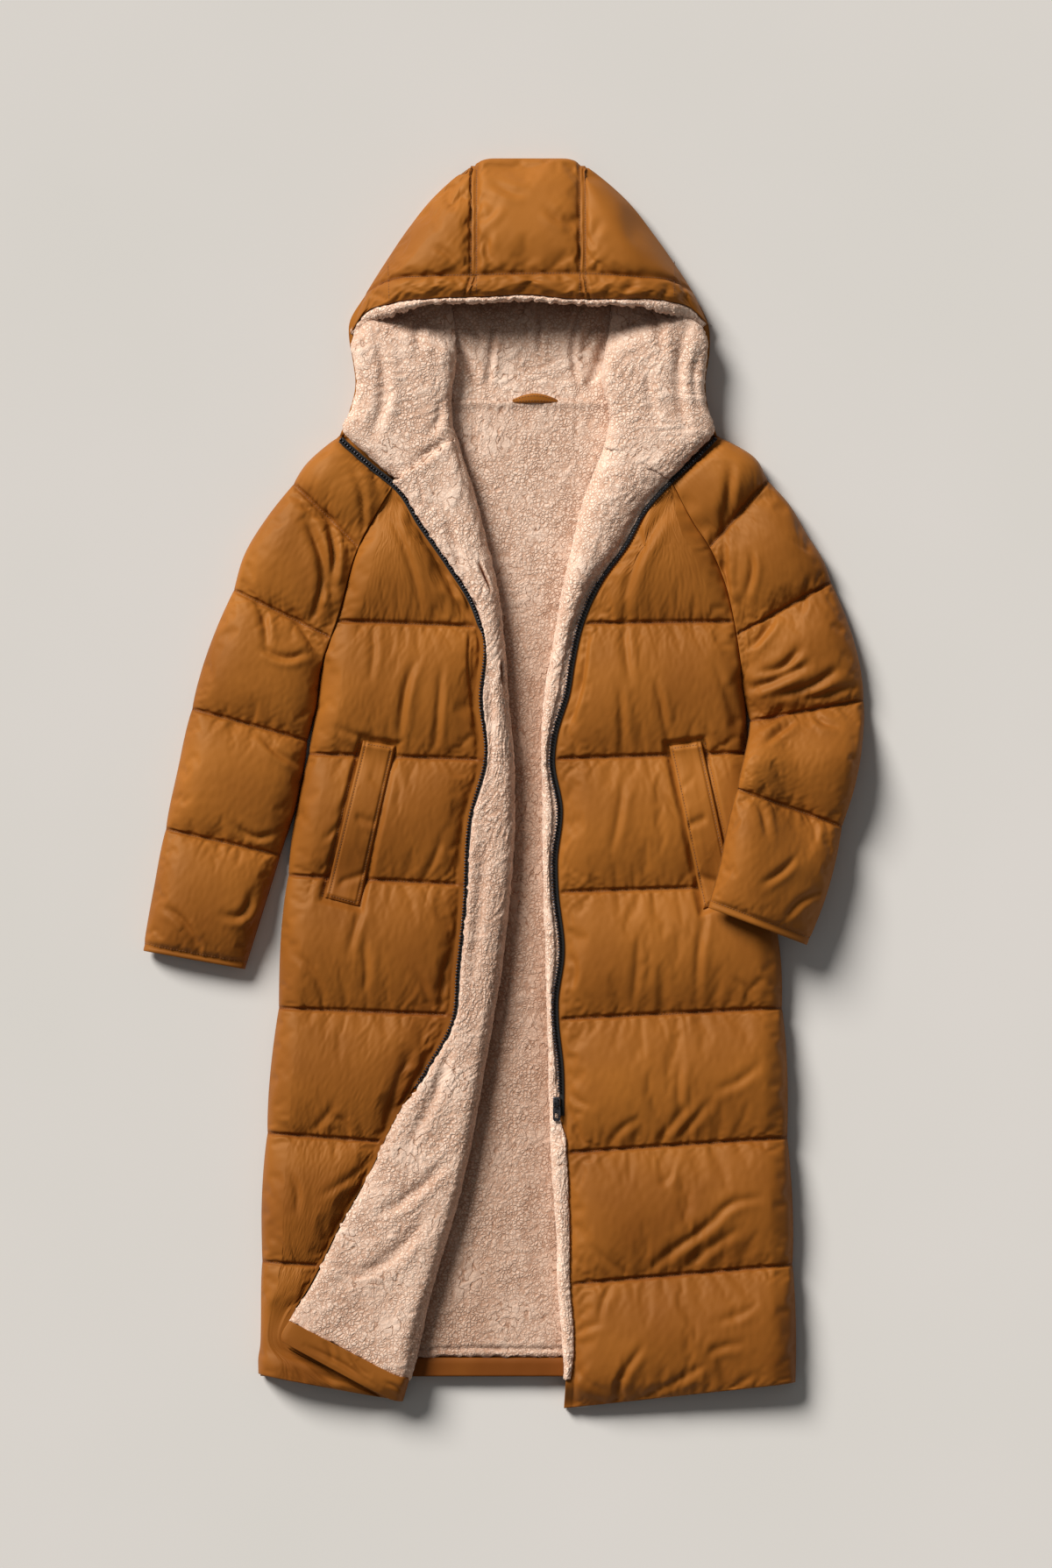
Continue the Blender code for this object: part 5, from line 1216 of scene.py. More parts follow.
def hoodPatch():
    look = hoodLook
    side, middle = np.linspace(0, 1, look["sideColumns"]), np.linspace(0, 1, look["middleColumns"])
    side = 0.6 * side + 0.4 * smoothstep(side)
    middle = 0.6 * middle + 0.4 * smoothstep(middle)
    down = np.linspace(0, 1, look["rows"])
    down = 0.7 * down + 0.3 * smoothstep(down)
    first, last = bandSeam[0][1], bandSeam[-1][1]
    strip, right, left = look["strip"], centreStripRight, centreStripLeft
    rows = []
    lowX = np.concatenate([mix(hoodR(600.0), right - strip, side), right + np.array((-1.3, 0.0, 1.3)),
                           mix(right + strip, left - strip, middle), left + np.array((-1.3, 0.0, 1.3)),
                           mix(left + strip, hoodL(600.0), side)])
    lowX[0], lowX[-1] = first, last
    cols, wide = len(lowX), len(middle) + 6
    part = np.concatenate([np.zeros(len(side)), np.ones(wide), 2 * np.ones(len(side))])
    share = np.concatenate([side, np.zeros(wide), side[::-1]])
    corner = np.minimum(lowX - right - strip, left - strip - lowX) / 21.0
    topY = np.where(part == 1, 740.8 + 8.8 * quarterRound(np.maximum(corner, 0.0)),
                    mix(738.0, 740.8, share ** 3))
    for v in down:
        y = mix(topY, bandLine(lowX), v)
        rightX = mix(np.minimum(hoodR(y), right - strip - 3.0), right - strip, share)
        leftX = mix(np.maximum(hoodL(y), left + strip + 3.0), left + strip, share)
        x = np.where(part == 0, rightX, np.where(part == 2, leftX, lowX))
        rows.append(np.column_stack([x, y]))
    for v in np.linspace(0, 1, look["bandRows"] + 1)[1:]:
        b = mix(brim[0][1], brim[-1][1], (lowX - first) / (last - first))
        start, end = np.column_stack([lowX, bandLine(lowX)]), np.column_stack([b, brimLine(b)])
        rows.append(start + (end - start) * v)
    xy = np.array(rows)
    z = hoodHeight(xy[..., 0], xy[..., 1])
    count = len(down)
    seamCols = (len(side) + 1, len(side) + wide - 2)
    gapX = np.min([np.abs(xy[..., 0] - xy[:, seam, None, 0]) for seam in seamCols], axis=0)
    gapY = np.abs(xy[..., 1] - xy[count - 1, None, :, 1])
    crown = np.arange(len(xy))[:, None] < count + 1
    near = np.minimum(np.where(crown, gapX, 99.0), gapY)
    z -= 4.0 * np.exp(-(near / 8.0) ** 2)
    # each seam of the crown is bound with a narrow strip, stitched down along both of its sides
    near = np.minimum(np.abs(gapX - strip), gapY)
    rim = np.zeros(z.shape)
    rim[:, 0] = rim[:, -1] = 5.0
    rim[0] = np.maximum(rim[0], 3.0)
    fromBrim = np.abs(xy[..., 1] - brimLine(xy[..., 0]))
    rim = np.maximum(rim, 7.0 * np.exp(-(fromBrim / 4.0) ** 2))
    base = np.maximum(hoodHeight(xy[..., 0], xy[..., 1]) - 12.0, liningBase)
    z = np.maximum(z - rim, base + 3.0)
    outer = np.dstack([xy, z])
    inner = np.dstack([xy, base])
    held = np.zeros(z.shape, dtype=bool)
    held[[0, -1]] = held[:, [0, -1]] = True
    held[count - 1] = True
    for seam in seamCols:
        held[:count, seam - 2:seam + 3] = True
    seamSide = spread(np.zeros(len(xy)), cols)
    seamSide[:, seamCols[0]:] += 1
    seamSide[:, seamCols[1]:] += 1
    seamSide[count:] += 4
    return outer, inner, held, near, seamSide


def buildShell():
    # each quilted piece: its seams, its look, its grids from the cut, and the solid that it stands for
    cuts = {
        "leftFront": (leftLevels, leftFrontLook, leftFrontPatch(), "left_front"),
        "rightFront": (rightLevels, rightFrontLook, rightFrontPatch(), "right_front"),
        "rightSleeve": (rightSleeveLevels, rightSleeveLook, sleevePatch(
            rightSleeveLevels, rightSleeveLook, curve(rightSleeveOuter), curve(rightSleeveInner),
            raglanR, backRaglanR, rightRaglan[-1][1], False), "right_sleeve"),
        "leftSleeve": (leftSleeveLevels, leftSleeveLook, sleevePatch(
            leftSleeveLevels, leftSleeveLook, curve(leftSleeveOuter), curve(leftSleeveInner),
            raglanL, backRaglanL, leftRaglan[-1][1], True), "left_sleeve"),
    }
    hoodOuter, hoodInner, hoodHeld, hoodNear, hoodSide = hoodPatch()
    patches = {name: {**look, "grid": outer, "pinned": held}
               for name, (_, look, (_, outer, _, held), _) in cuts.items()}
    patches["hood"] = {**hoodLook, "grid": hoodOuter, "pinned": hoodHeld}
    print("quilted patches laid out")
    swollen = swell(patches)
    made, sewn = {}, {}
    for name, (levels, look, (rows, _, inner, held), stand) in cuts.items():
        grid = swollen[name]
        near, side = channelMarks(rows, levels)
        cols = grid.shape[1]
        fixed = held.copy()
        fixed[[i for i, r in enumerate(rows) if r[1] == 0.0]] = held[1]
        shaped, nearSeam = finish(grid, spread(near, cols), spread(side, cols), 1.0 - fixed, look)
        # its seam mark darkens the cloth near each seam: partly a dark seam line, partly painted shade in the
        # groove
        made[name] = closedWall(name + "Shell", shaped, finer(inner), shellCloth, 4,
                                seam=np.exp(-nearSeam / 2.0))
        onCoat(made[name], (stand,))
        # the rows that are sewn, with which way is out; a front's end where the zip covers them
        normal = upNormals(shaped)
        seamRows = [2 * i for i, r in enumerate(rows)
                    if r[1] == 0.0 and r[2] > 0 and levels[r[2]][0] != "yoke"]
        if "Sleeve" in name:
            seamRows.append(2 * int(np.argmin([abs(r[0][0] - levels[-1][1] - 8.5) for r in rows])))
            window = slice(2, None)
        else:
            window = slice(0, 2 * (4 + look["columns"]) - 3)
        sewn[name] = [(shaped[i, window], normal[i, window]) for i in seamRows]
        print(name, "shell made")
    rims = np.ones(hoodHeld.shape)
    rims[[0, -1]] = rims[:, [0, -1]] = 0.0
    shaped, nearSeam = finish(swollen["hood"], hoodNear, hoodSide, rims, hoodLook)
    # its seam mark darkens the cloth near each seam: partly a dark seam line, partly painted shade in the
    # groove
    made["hood"] = closedWall("hoodShell", shaped, finer(hoodInner), shellCloth, 4,
                              seam=np.exp(-nearSeam / 2.0))
    onCoat(made["hood"], ("hood_centre", "hood_right", "hood_left", "hood_band"))
    print("hood shell made")
    return made, sewn


shell, sewnLines = buildShell()

backLook = {"rowSpacing": 9.0, "columns": 46, "groove": 5.0, "pucker": 1.2, "crumple": 0.9, "seed": 16.5}


def buildBack():
    look = backLook
    levels = tuple((a[0], 0.5 * (a[1] + b[1])) for a, b in zip(rightLevels, leftLevels))
    levels = (("neck", 449.4),) + levels[2:-1] + (("hem", backHem),)
    outer, inner = [], []
    rows = channelRows(levels, look["rowSpacing"], 1.0)
    near, side = channelMarks(rows, levels)
    for (y,), _, _, full in rows:
        left = backRaglanR(y) + seamGap if y > 156.5 else sideR(y) + 0.6
        right = backRaglanL(y) - seamGap if y > 143.8 else sideL(y) - 0.6
        x = mix(left, right, np.linspace(0, 1, look["columns"]))
        yHere = np.full(len(x), y)
        top = 1 - smoothstep((449.4 - y) / 60.0)
        yHere = yHere + top * (neckLine(x) - seamGap - y)
        edge = np.minimum(x - left, right - x)
        openSide = 1.0 * (y <= 156.5)
        high = mix(backThick, 7.0, openSide * (1 - quarterRound(edge / 20.0)))
        bottom = np.where(full > 0, (1 - full) * look["groove"], look["groove"]) * smoothstep(edge / 12.0)
        tuck = 4.0 * openSide * (1 - smoothstep(edge / 14.0))
        xLow = x + np.where(x < 0.5 * (left + right), tuck, -tuck)
        outer.append(np.column_stack([xLow, yHere, bottom]))
        inner.append(np.column_stack([x, yHere, high]))
    outer, inner = np.array(outer), np.array(inner)
    fine = finer(outer)
    nearFine = np.maximum(finer(spread(near, outer.shape[1])), 0)
    sideFine = np.round(finer(spread(side, outer.shape[1])) * 2) / 2
    lift = np.abs(puckers(fine, nearFine, sideFine, look["pucker"], look["seed"]))
    lift += np.maximum(crumples(fine, look["crumple"], look["seed"]), 0) * (1 - np.exp(-nearFine / 14.0))
    fade = np.minimum(np.arange(fine.shape[1]), np.arange(fine.shape[1])[::-1])[None] / 4.0
    fine[..., 2] += lift * np.clip(fade, 0, 1)
    # its seam mark darkens the cloth near each seam: partly a dark seam line, partly painted shade in the
    # groove
    piece = closedWall("backShell", fine, finer(inner), shellCloth, 4, seam=np.exp(-nearFine / 12.0))
    onCoat(piece, ("back_panel",))
    down = np.zeros_like(fine)
    down[..., 2] = -1.0
    seamRows = [2 * i for i, r in enumerate(rows) if r[1] == 0.0 and r[2] > 0]
    sewnLines["back"] = [(fine[i, 4:-4], down[i, 4:-4]) for i in seamRows]
    print("back made")


def buildHoodBack():
    # the hood's own back, on the floor
    topY, lowY = 748.5, 418.5
    outer, inner = [], []
    marks = np.linspace(0, 1, 50)
    for y in np.linspace(topY, lowY, 44):
        left, right = (hoodR(y) if y < 740 else centreStripRight), hoodL(y)
        x = mix(left, right, marks)
        lowHere = neckLine(mix(hoodR(lowY), hoodL(lowY), marks)) + seamGap
        yHere = topY - (topY - y) * (topY - lowHere) / (topY - lowY)
        corner = np.clip(np.minimum(x - centreStripRight, centreStripLeft - x) / 21.0, 0, 1)
        yHere = yHere - 9.5 * (1 - quarterRound(corner)) * smoothstep((y - 715.0) / 30.0)
        rim = np.minimum(np.minimum(x - left, right - x), 1.5 * (topY - yHere) + 2)
        high = backThick - 3.0 * np.exp(-rim / 6.0)
        shift = 0.015 * (right - left) * np.exp(-np.minimum(x - left, right - x) / 8.0)
        xLow = x + np.where(marks < 0.5, shift, -shift)
        bumps = 1.2 * (0.5 + 0.5 * softNoise(x / 30.0, y / 45.0, 4.0)) * smoothstep(rim / 25.0)
        low = 3.0 * np.exp(-rim / 5.0) + bumps
        outer.append(np.column_stack([xLow, yHere - 2.0 * (y == topY), low]))
        inner.append(np.column_stack([x, yHere, high]))
    piece = closedWall("hoodBackShell", finer(np.array(outer)), finer(np.array(inner)), shellCloth, 4)
    onCoat(piece, ("hood_back",))
    print("hood back made")


buildBack()
buildHoodBack()
fleeceLook = {
    "clumpWide": 7.0,
    "clumpLong": 11.0,
    "height": 1.5,
    "waveLong": 46.0,
    "step": 2.1,
}
lapelFolds = (
    (5, 3.2, -110.3, 381.3, -88.3, 397.1, -66.3, 411.2),
    (6, 3, -70, 330, -52, 260, -30, 190),
    (5, 2.2, -18, 150, -14, 60, -20, -20),
    (6, 2.8, -22, -60, -30, -160, -38, -240),
    (6, 3, -60, -300, -80, -370, -112, -430),
    (6, 3.4, -66, -450, -118, -500, -150, -515),
    (7, 3.4, -92, -520, -140, -575, -190, -592),
    (6, 3, -84, -600, -104, -650, -112, -715),
)
# two narrow slits cut into the lapel; the fleece darkens in them as painted shade
lapelSlits = ((-29.1, 264.9, -22.2, 249.1, -14.3, 231.8), (-2, 150, -1, 133, 0.5, 115))
hemFolds = (
    (3, 2.4, -236, -672, -190, -694, -150, -722),
    (2.6, 2.2, -186, -680, -172, -700, -160, -708),
    (2.4, 2, -140, -716, -126, -722, -116, -736),
    (3.2, 2, -214, -666, -206, -678, -204, -690),
)
hoodFolds = {
    "right": (
        (5.5, 3.6, -104.7, 560.7, -103.4, 535.5, -97.1, 510.4),
        (6.5, 4, -151.3, 532.4, -142.4, 488.3, -143.4, 450.6, -160.7, 409.6),
        (6, 3.6, -56.8, 497.8, -55.3, 513.5, -66.3, 527.7),
        (5, 3.2, -110.3, 381.3, -88.3, 397.1, -66.3, 411.2),
        (5, 2.6, -176.4, 535.5, -163.8, 519.8, -154.4, 488.3),
        (5, 2.6, -88.3, 415.9, -75.7, 438, -75.7, 460),
    ),
    "left": (
        (6.5, 4, 223.9, 557.6, 210.7, 519.8, 208.2, 466.3, 220.2, 412.8),
        (5.5, 3.6, 177.7, 570.2, 185.5, 541.8, 191.8, 510.4),
        (5.5, 3, 119.4, 488.3, 117.9, 504.1, 125.7, 516.7),
        (5, 2.6, 172.9, 497.8, 172.9, 466.3, 182.4, 434.8),
        (4.5, 2.4, 232.7, 513.5, 226.4, 482, 232.7, 450.6),
    ),
    "back": (
        (3.5, 4, -11.2, 563.9, -12.8, 529.3, -18.4, 475.7),
        (3.5, 3.2, 42.3, 573.3, 43.3, 535.5, 43.3, 513.5),
        (3.5, 4, 86.4, 560.7, 81.7, 510.4, 92.7, 466.3),
        (6, 5, -55.3, 526.1, -44.2, 507.2, -33.2, 475.7),
        (6, 5, 124.2, 541.8, 116.3, 510.4, 100.5, 469.4),
        (4.5, 3, -44.2, 557.6, -34.8, 538.7, -25.4, 529.3),
        (5, 3.2, 103.7, 551.3, 100.5, 529.3, 95.8, 510.4),
    ),
}


def pileOf(grid, seed, turn=0.0):
    # how high the pile stands, 0 in a crease to 1 on a clump: winding clumps parted by winding cracks
    u, v = arcs(grid)
    long = fleeceLook["waveLong"]
    sway = softNoise(u / long, v / long, seed) * 12.0 + softNoise(u / 19.0, v / 19.0, seed + 4) * 5.0
    lean = turn + 0.9 * softNoise(u / 60.0, v / 60.0, seed + 7)
    a = u * np.cos(lean) + v * np.sin(lean) + sway
    b = v * np.cos(lean) - u * np.sin(lean) + sway * 0.6
    wide, tall = fleeceLook["clumpWide"], fleeceLook["clumpLong"]
    first = np.abs(softNoise(a / wide, b / tall, seed + 12))
    second = np.abs(softNoise(a / (1.3 * wide), b / (0.6 * tall), seed + 16))
    clump = np.minimum(smoothstep(first / 0.34), 0.25 + 0.75 * smoothstep(second / 0.34))
    fine = softNoise(a / 2.6, b / 3.1, seed + 20)
    return np.clip(0.84 * clump + 0.16 * (0.5 + 0.5 * fine), 0, 1)


def fleecePiece(name, outer, inner, seed, turn=0.0, rolls=0.0, tall=1.0, folds=(), shade=None, ragged=2.2,
                slits=()):
    # a fleece layer from its plain grids, with the pile raised on its outer side
    normal = gridNormals(outer)
    if (normal * (outer - inner)).sum() < 0:
        normal = -normal
    pile = pileOf(outer, seed, turn)
    u, v = arcs(outer)
    broad = softNoise(u / 30.0, v / 44.0, seed + 31) + 0.5 * softNoise(u / 15.0, v / 60.0, seed + 35)
    rows, cols = pile.shape
    lift = fleeceLook["height"] * tall * (pile - 0.62) + rolls * broad
    folded = crease(outer, folds)
    cut = crease(outer, [(1.7, 4.5, *slit) for slit in slits])
    upward = smoothstep((normal[..., 2] - 0.2) / 0.5)
    lift -= (folded + cut) * upward
    shaped = outer + normal * lift[..., None]
    sideways, endways = unitVectors(np.gradient(outer, axis=1)), unitVectors(np.gradient(outer, axis=0))
    edge = np.minimum(np.arange(cols), np.arange(cols)[::-1])
    ends = np.minimum(np.arange(rows), np.arange(rows)[::-1])[:, None]
    tuft = softNoise(u / 4.0, v / 4.6, seed + 41) + 0.7 * softNoise(u / 9.0, v / 9.0, seed + 43)
    shaped += sideways * (tuft * ragged * np.exp(-edge / 2.5))[..., None]
    shaped += endways * (tuft * 1.3 * ragged * np.exp(-ends / 1.6))[..., None]
    # painted shade: the shade mark, darker in its folds and near black in its slits
    dark = np.zeros(pile.shape) if shade is None else shade(outer[..., 0], outer[..., 1])
    dark = np.clip(dark + upward * (0.07 * np.maximum(folded, 0) + 0.5 * np.maximum(cut, 0)), 0, 1.6)
    return closedWall(name, shaped, inner, fleeceCloth, 5, pile=pile, shade=dark)


def rowsOf(levels, spacing):
    # plain values down a piece at even steps
    values = []
    for k in range(len(levels) - 1):
        near, far = np.array(levels[k][1:]), np.array(levels[k + 1][1:])
        count = max(2, int(round(abs(near[0] - far[0]) / spacing)))
        values += [near + (far - near) * i / count for i in range(count)]
    values.append(np.array(levels[-1][1:], dtype=float))
    return values


def chestTurn(y, low=170.0):
    # each zip lies with its teeth one way over the chest and the other way below it
    return smoothstep((y - low) / 25.0)


def lapelCover(rows, thick, lift, count):
    outer, inner = [], []
    for values in rows:
        row, fold, lapel = rightFrame(values)
        drop = droop(row.at(fold)[1])
        top = flapTop + seamGap + thick + lift
        base = flapTop + seamGap + lift
        length = lapel.length
        yEdge = values[2]
        reach = mix(mix(-2.6, 3.0, smoothstep((-362.0 - yEdge) / 25.0)), 0.5, chestTurn(yEdge))
        out, into = [], []
        for s, z in ((length + reach, base + 0.4 * thick), (length - min(5.5, 0.15 * length), top),
                     (0.62 * length, top), (0.5 * length, top), (0.3 * length, top), (0.14 * length, top)):
            x, y = lapel.at(s)
            out.append((x, y, z - droop(y)))
            into.append((x, y, base - droop(y)))
        for s, z in ((-8.0, top), (0.0, top - 2.0), (thick - 1.0, flapTop - 3),
                     (thick + 1.2, frontSeam - 1), (thick + 1.2, liningTop + 0.4)):
            out.append((*row.at(fold + s), z - drop))
        for s, z in ((-foldWall - 0.3, base), (-1.6, flapTop - 1.4), (0.2, flapTop - 5),
                     (1.1, frontSeam), (1.1, liningTop + 0.4)):
            into.append((*row.at(fold + s), z - drop))
        outer.append(denseRow(out, count))
        inner.append(denseRow(into, count, 0))
    return np.array(outer), np.array(inner)


def facingRow(values):
    row, _, end, hidden = leftFrame(values)
    y = values[1]
    bare = smoothstep((-398.0 - y) / 30.0)
    end -= 2.0 + 5.4 * bare * smoothstep((y + 735.0) / 60.0)
    step = hidden + 0.9
    wide = row.length - end
    top = mix(36.0, fleeceTop, smoothstep((y - 90.0) / 200.0))
    top = mix(31.9, top, smoothstep((abs(y - sliderY + 14.0) - 26.0) / 26.0))
    base, low = frontSeam + 0.4, liningTop + 0.4
    spots = [(row.length - 0.05 * min(wide, 6.0), low)]
    spots += [(row.length - wide * share, z) for share, z in (
        (0.0, 26.0), (0.12, mix(26.0, top, 0.75)), (0.35, top), (0.62, mix(32.0, top, 0.86)),
        (max(0.66, 1 - 9.0 / wide), mix(min(top, 32.0), top, mix(0.45, 0.8, bare))),
        (max(0.72, 1 - 4.4 / wide), min(top, mix(31.8, 35.0, bare))),
        (1.0, min(top, mix(31.2, 33.0, bare))), (1.0, frontSeam + 0.6))]
    under = [(mix(row.length, step, 0.4), low), (mix(row.length, step, 0.7), low), (step, low), (step, base)]
    under += [(mix(step, end, share), base) for share in (0.3, 0.6, 0.8)] + [(end + 0.2, base)]
    return [[(*row.at(s), z - droop(row.at(s)[1])) for s, z in path] for path in (spots, under)]


def roundEnds(outer, first, last, rows=4):
    # rounds the first and last rows of a layer down, in mm
    for deep, index in ((first, range(rows)), (last, range(-1, -rows - 1, -1))):
        for k, i in enumerate(index):
            outer[i, ..., 2] -= deep * (1 - quarterRound((k + 0.5) / rows))


def lapelShade(x, y):
    # painted shade: darker down the lower lapel, and along the fold, where the cloth turns down
    low = 0.34 * smoothstep((170.0 - y) / 260.0) * (0.75 + 0.5 * softNoise(x / 30.0, y / 45.0, 9.0))
    return low + 0.2 * np.exp(-np.abs(foldR(y) - x - 8.0) / 7.0)


def buildLapel():
    # lapel of the right front, and the shell that turns its hem
    hem, calf = np.array(rightLevels[-1][1:]), np.array(rightLevels[-2][1:])
    rows = rowsOf((*rightLevels[:-1], ("end", *mix(calf, hem, 0.815))), fleeceLook["step"])
    rows = [rows[0] + 2.5 * k for k in (1.0, 0.5)] + rows
    outer, inner = lapelCover(rows, fleeceThick, 0.0, 66)
    roundEnds(outer, 1.5, 3.0)
    lapel = fleecePiece("lapelFleece", outer, inner, 2.5, 0.25, 1.2, folds=lapelFolds, shade=lapelShade,
                        ragged=3.4, slits=lapelSlits)
    onCoat(lapel, ("right_front_lining",))
    rows = [mix(mix(calf, hem, 0.81), hem, t) for t in np.linspace(0, 1, 12)]
    outer, inner = lapelCover(rows, fleeceThick - 2.4, 3.2, 60)
    outer = finer(outer)
    outer[..., 2] += crumples(outer, 1.1, 4.0) - crease(outer, hemFolds)
    facing = closedWall("lapelHemFacing", outer, finer(inner), shellCloth, 3)
    onCoat(facing, ("right_front_hem_facing",))
    print("lapel made")


def buildFacing():
    # facing of the left front, with a few rows that overlap the hood's fleece
    outer, inner = [], []
    rows = [values for values in rowsOf(leftLevels, fleeceLook["step"]) if values[1] > -716.0]
    for values in [rows[0] + 2.2 * k for k in (3.0, 2.5, 2.0, 1.5, 1.0, 0.5)] + rows:
        out, into = facingRow(values)
        outer.append(denseRow(out, 44))
        inner.append(denseRow(into, 44, 0))
    outer = np.array(outer)
    roundEnds(outer, 5.0, 3.0, 6)
    facing = fleecePiece("facingFleece", outer, np.array(inner), 5.5, 0.1, 0.8, ragged=1.6)
    onCoat(facing, ("left_front_facing",))
    print("left facing made")


def backShade(x, y):
    # painted shade deep inside the coat, where little light comes, most beside the lapel, with a dark line
    # under the neck's edge
    deep = 0.14 + 0.52 * smoothstep((330.0 - y) / 260.0) - 0.1 * smoothstep((-330.0 - y) / 200.0)
    deep = deep + 0.12 * softNoise(x / 16.0, y / 130.0, 6.0)
    lip = 0.3 * np.exp(-((neckLine(x) + 2.0 - y) / 3.0) ** 2)
    beside = 0.28 * np.exp(-np.maximum(x - foldR(y), 0.0) / 14.0) * smoothstep((440.0 - y) / 60.0)
    return lip + deep + beside


def buildBackLining():
    # back lining, only as wide as shows with a little under each front, and the facing of its hem
    outer, inner = [], []
    for y in np.arange(458.0, -689.0, -2.3):
        left, right = foldR(y) - 40.0, foldL(y) + 40.0
        if y > 150:
            left, right = max(left, backRaglanR(y) + 8.0), min(foldL(y) + 50.0, backRaglanL(y) - 8.0)
        narrow = smoothstep((y - 345.0) / 14.0)
        left, right = mix(left, foldR(y) - 7.0, narrow), mix(right, foldL(y) + 7.0, narrow)
        x = np.linspace(left, right, 84)
        top = smoothstep((y - 440.0) / 18.0)
        yHere = y + top * (neckLine(x) + 1.4 - y)
        edge = np.minimum(x - left, right - x)
        hemGroove = 3.2 * np.exp(-((y + 677.5 + 1.5 * softNoise(x / 30.0, 2.0)) / 2.2) ** 2)
        neckLip = 2.6 * np.exp(-((neckLine(x) - 4.0 - yHere) / 4.0) ** 2)
        high = liningTop - 1.0 - 2.5 * np.exp(-edge / 5.0) - hemGroove + neckLip
        outer.append(np.column_stack([x, yHere, high]))
        inner.append(np.column_stack([x, yHere, np.full(len(x), liningBase)]))
    outer = np.array(outer)
    roundEnds(outer, 0.0, 4.0)
    lining = fleecePiece("backFleece", outer, np.array(inner), 8.5, 0.0, 0.6, tall=0.8, shade=backShade,
                         ragged=3.4)
    onCoat(lining, ("back_lining",))
    outer, inner = [], []
    for y in np.linspace(-688.5, backHem, 10):
        left, right = max(sideR(y) + 50.0, foldR(y) - 20.0), min(sideL(y) - 40.0, foldL(y) + 20.0)
        x = np.linspace(left, right, 70)
        ripple = 0.5 * softNoise(x / 18.0, y / 30.0, 3.0)
        high = liningTop - 2.2 - 1.8 * np.exp(-((y + 689.0) / 2.5) ** 2) + ripple
        flat = np.full(len(x), y)
        outer.append(np.column_stack([x, flat, high]))
        inner.append(np.column_stack([x, flat, np.full(len(x), liningBase)]))
    # a high seam mark over the whole strip darkens it as painted shade
    strip = closedWall("backHemFacing", np.array(outer), np.array(inner), shellCloth, 3,
                       seam=np.full((10, 70), 0.9))
    onCoat(strip, ("back_hem_facing",))
    print("back lining made")


def smoothTable(table, steps):
    # rows between the named rows of a turned-back side
    rows = np.array([row[1:] for row in table], dtype=float)
    want = np.linspace(0, len(rows) - 1, steps)
    slopes = np.gradient(rows, axis=0)
    k = np.minimum(want.astype(int), len(rows) - 2)
    t = (want - k)[:, None]
    smooth = ((1 + 2 * t) * (1 - t) ** 2 * rows[k] + t * (1 - t) ** 2 * slopes[k]
              + t * t * (3 - 2 * t) * rows[k + 1] + t * t * (t - 1) * slopes[k + 1])
    return want, smooth


def underBrim(x, y):
    # dark where the brim keeps the light off, fading down the inside of the hood
    return 1.2 * np.exp(-(np.maximum(brimLine(x) - y, 0.0) / 37.0) ** 1.6)


def turnbackShade(x, y):
    # painted shade on each turned-back side: near the brim, most towards the hood's middle and in a patch on
    # each side, and in its sunken corner
    gap = np.maximum(brimLine(x) - y, 0.0)
    across = np.abs(x - hoodMiddle)
    inner = smoothstep((95.0 - across) / 60.0)
    patches = np.exp(-((across - 150.0) / 26.0) ** 2)
    near = np.clip((0.25 + 0.75 * np.maximum(inner, patches)) * np.exp(-(gap / 26.0) ** 2), 0, 0.9)
    return np.maximum(near, 0.8 * sunk(x, y) * underBrim(x, y))


# where each turned-back side sinks: how far from the hood's middle, and the height of the rim there
sunkRim = np.array(((70.0, 512.0), (84.0, 516.0), (100.0, 524.0), (115.0, 531.0), (135.0, 539.0),
                    (150.0, 547.0), (185.0, 556.0)))
hoodMiddle = 31.0
turnbackLook = {
    "rows": 92,
    "padColumns": 20,
    "furColumns": 74,
    "padHigh": 38.0,
    "fallen": 0.93,  # the most that a sunken corner drops, as a share of its height
}


def sunk(x, y):
    # how far the top of each turned-back side has fallen back into the hood, leaving a rounded corner
    across = np.abs(x - hoodMiddle)
    rim = np.interp(across, sunkRim[:, 0], sunkRim[:, 1])
    return smoothstep((y - rim + 5.0) / 24.0) * smoothstep((198.0 - across) / 22.0)


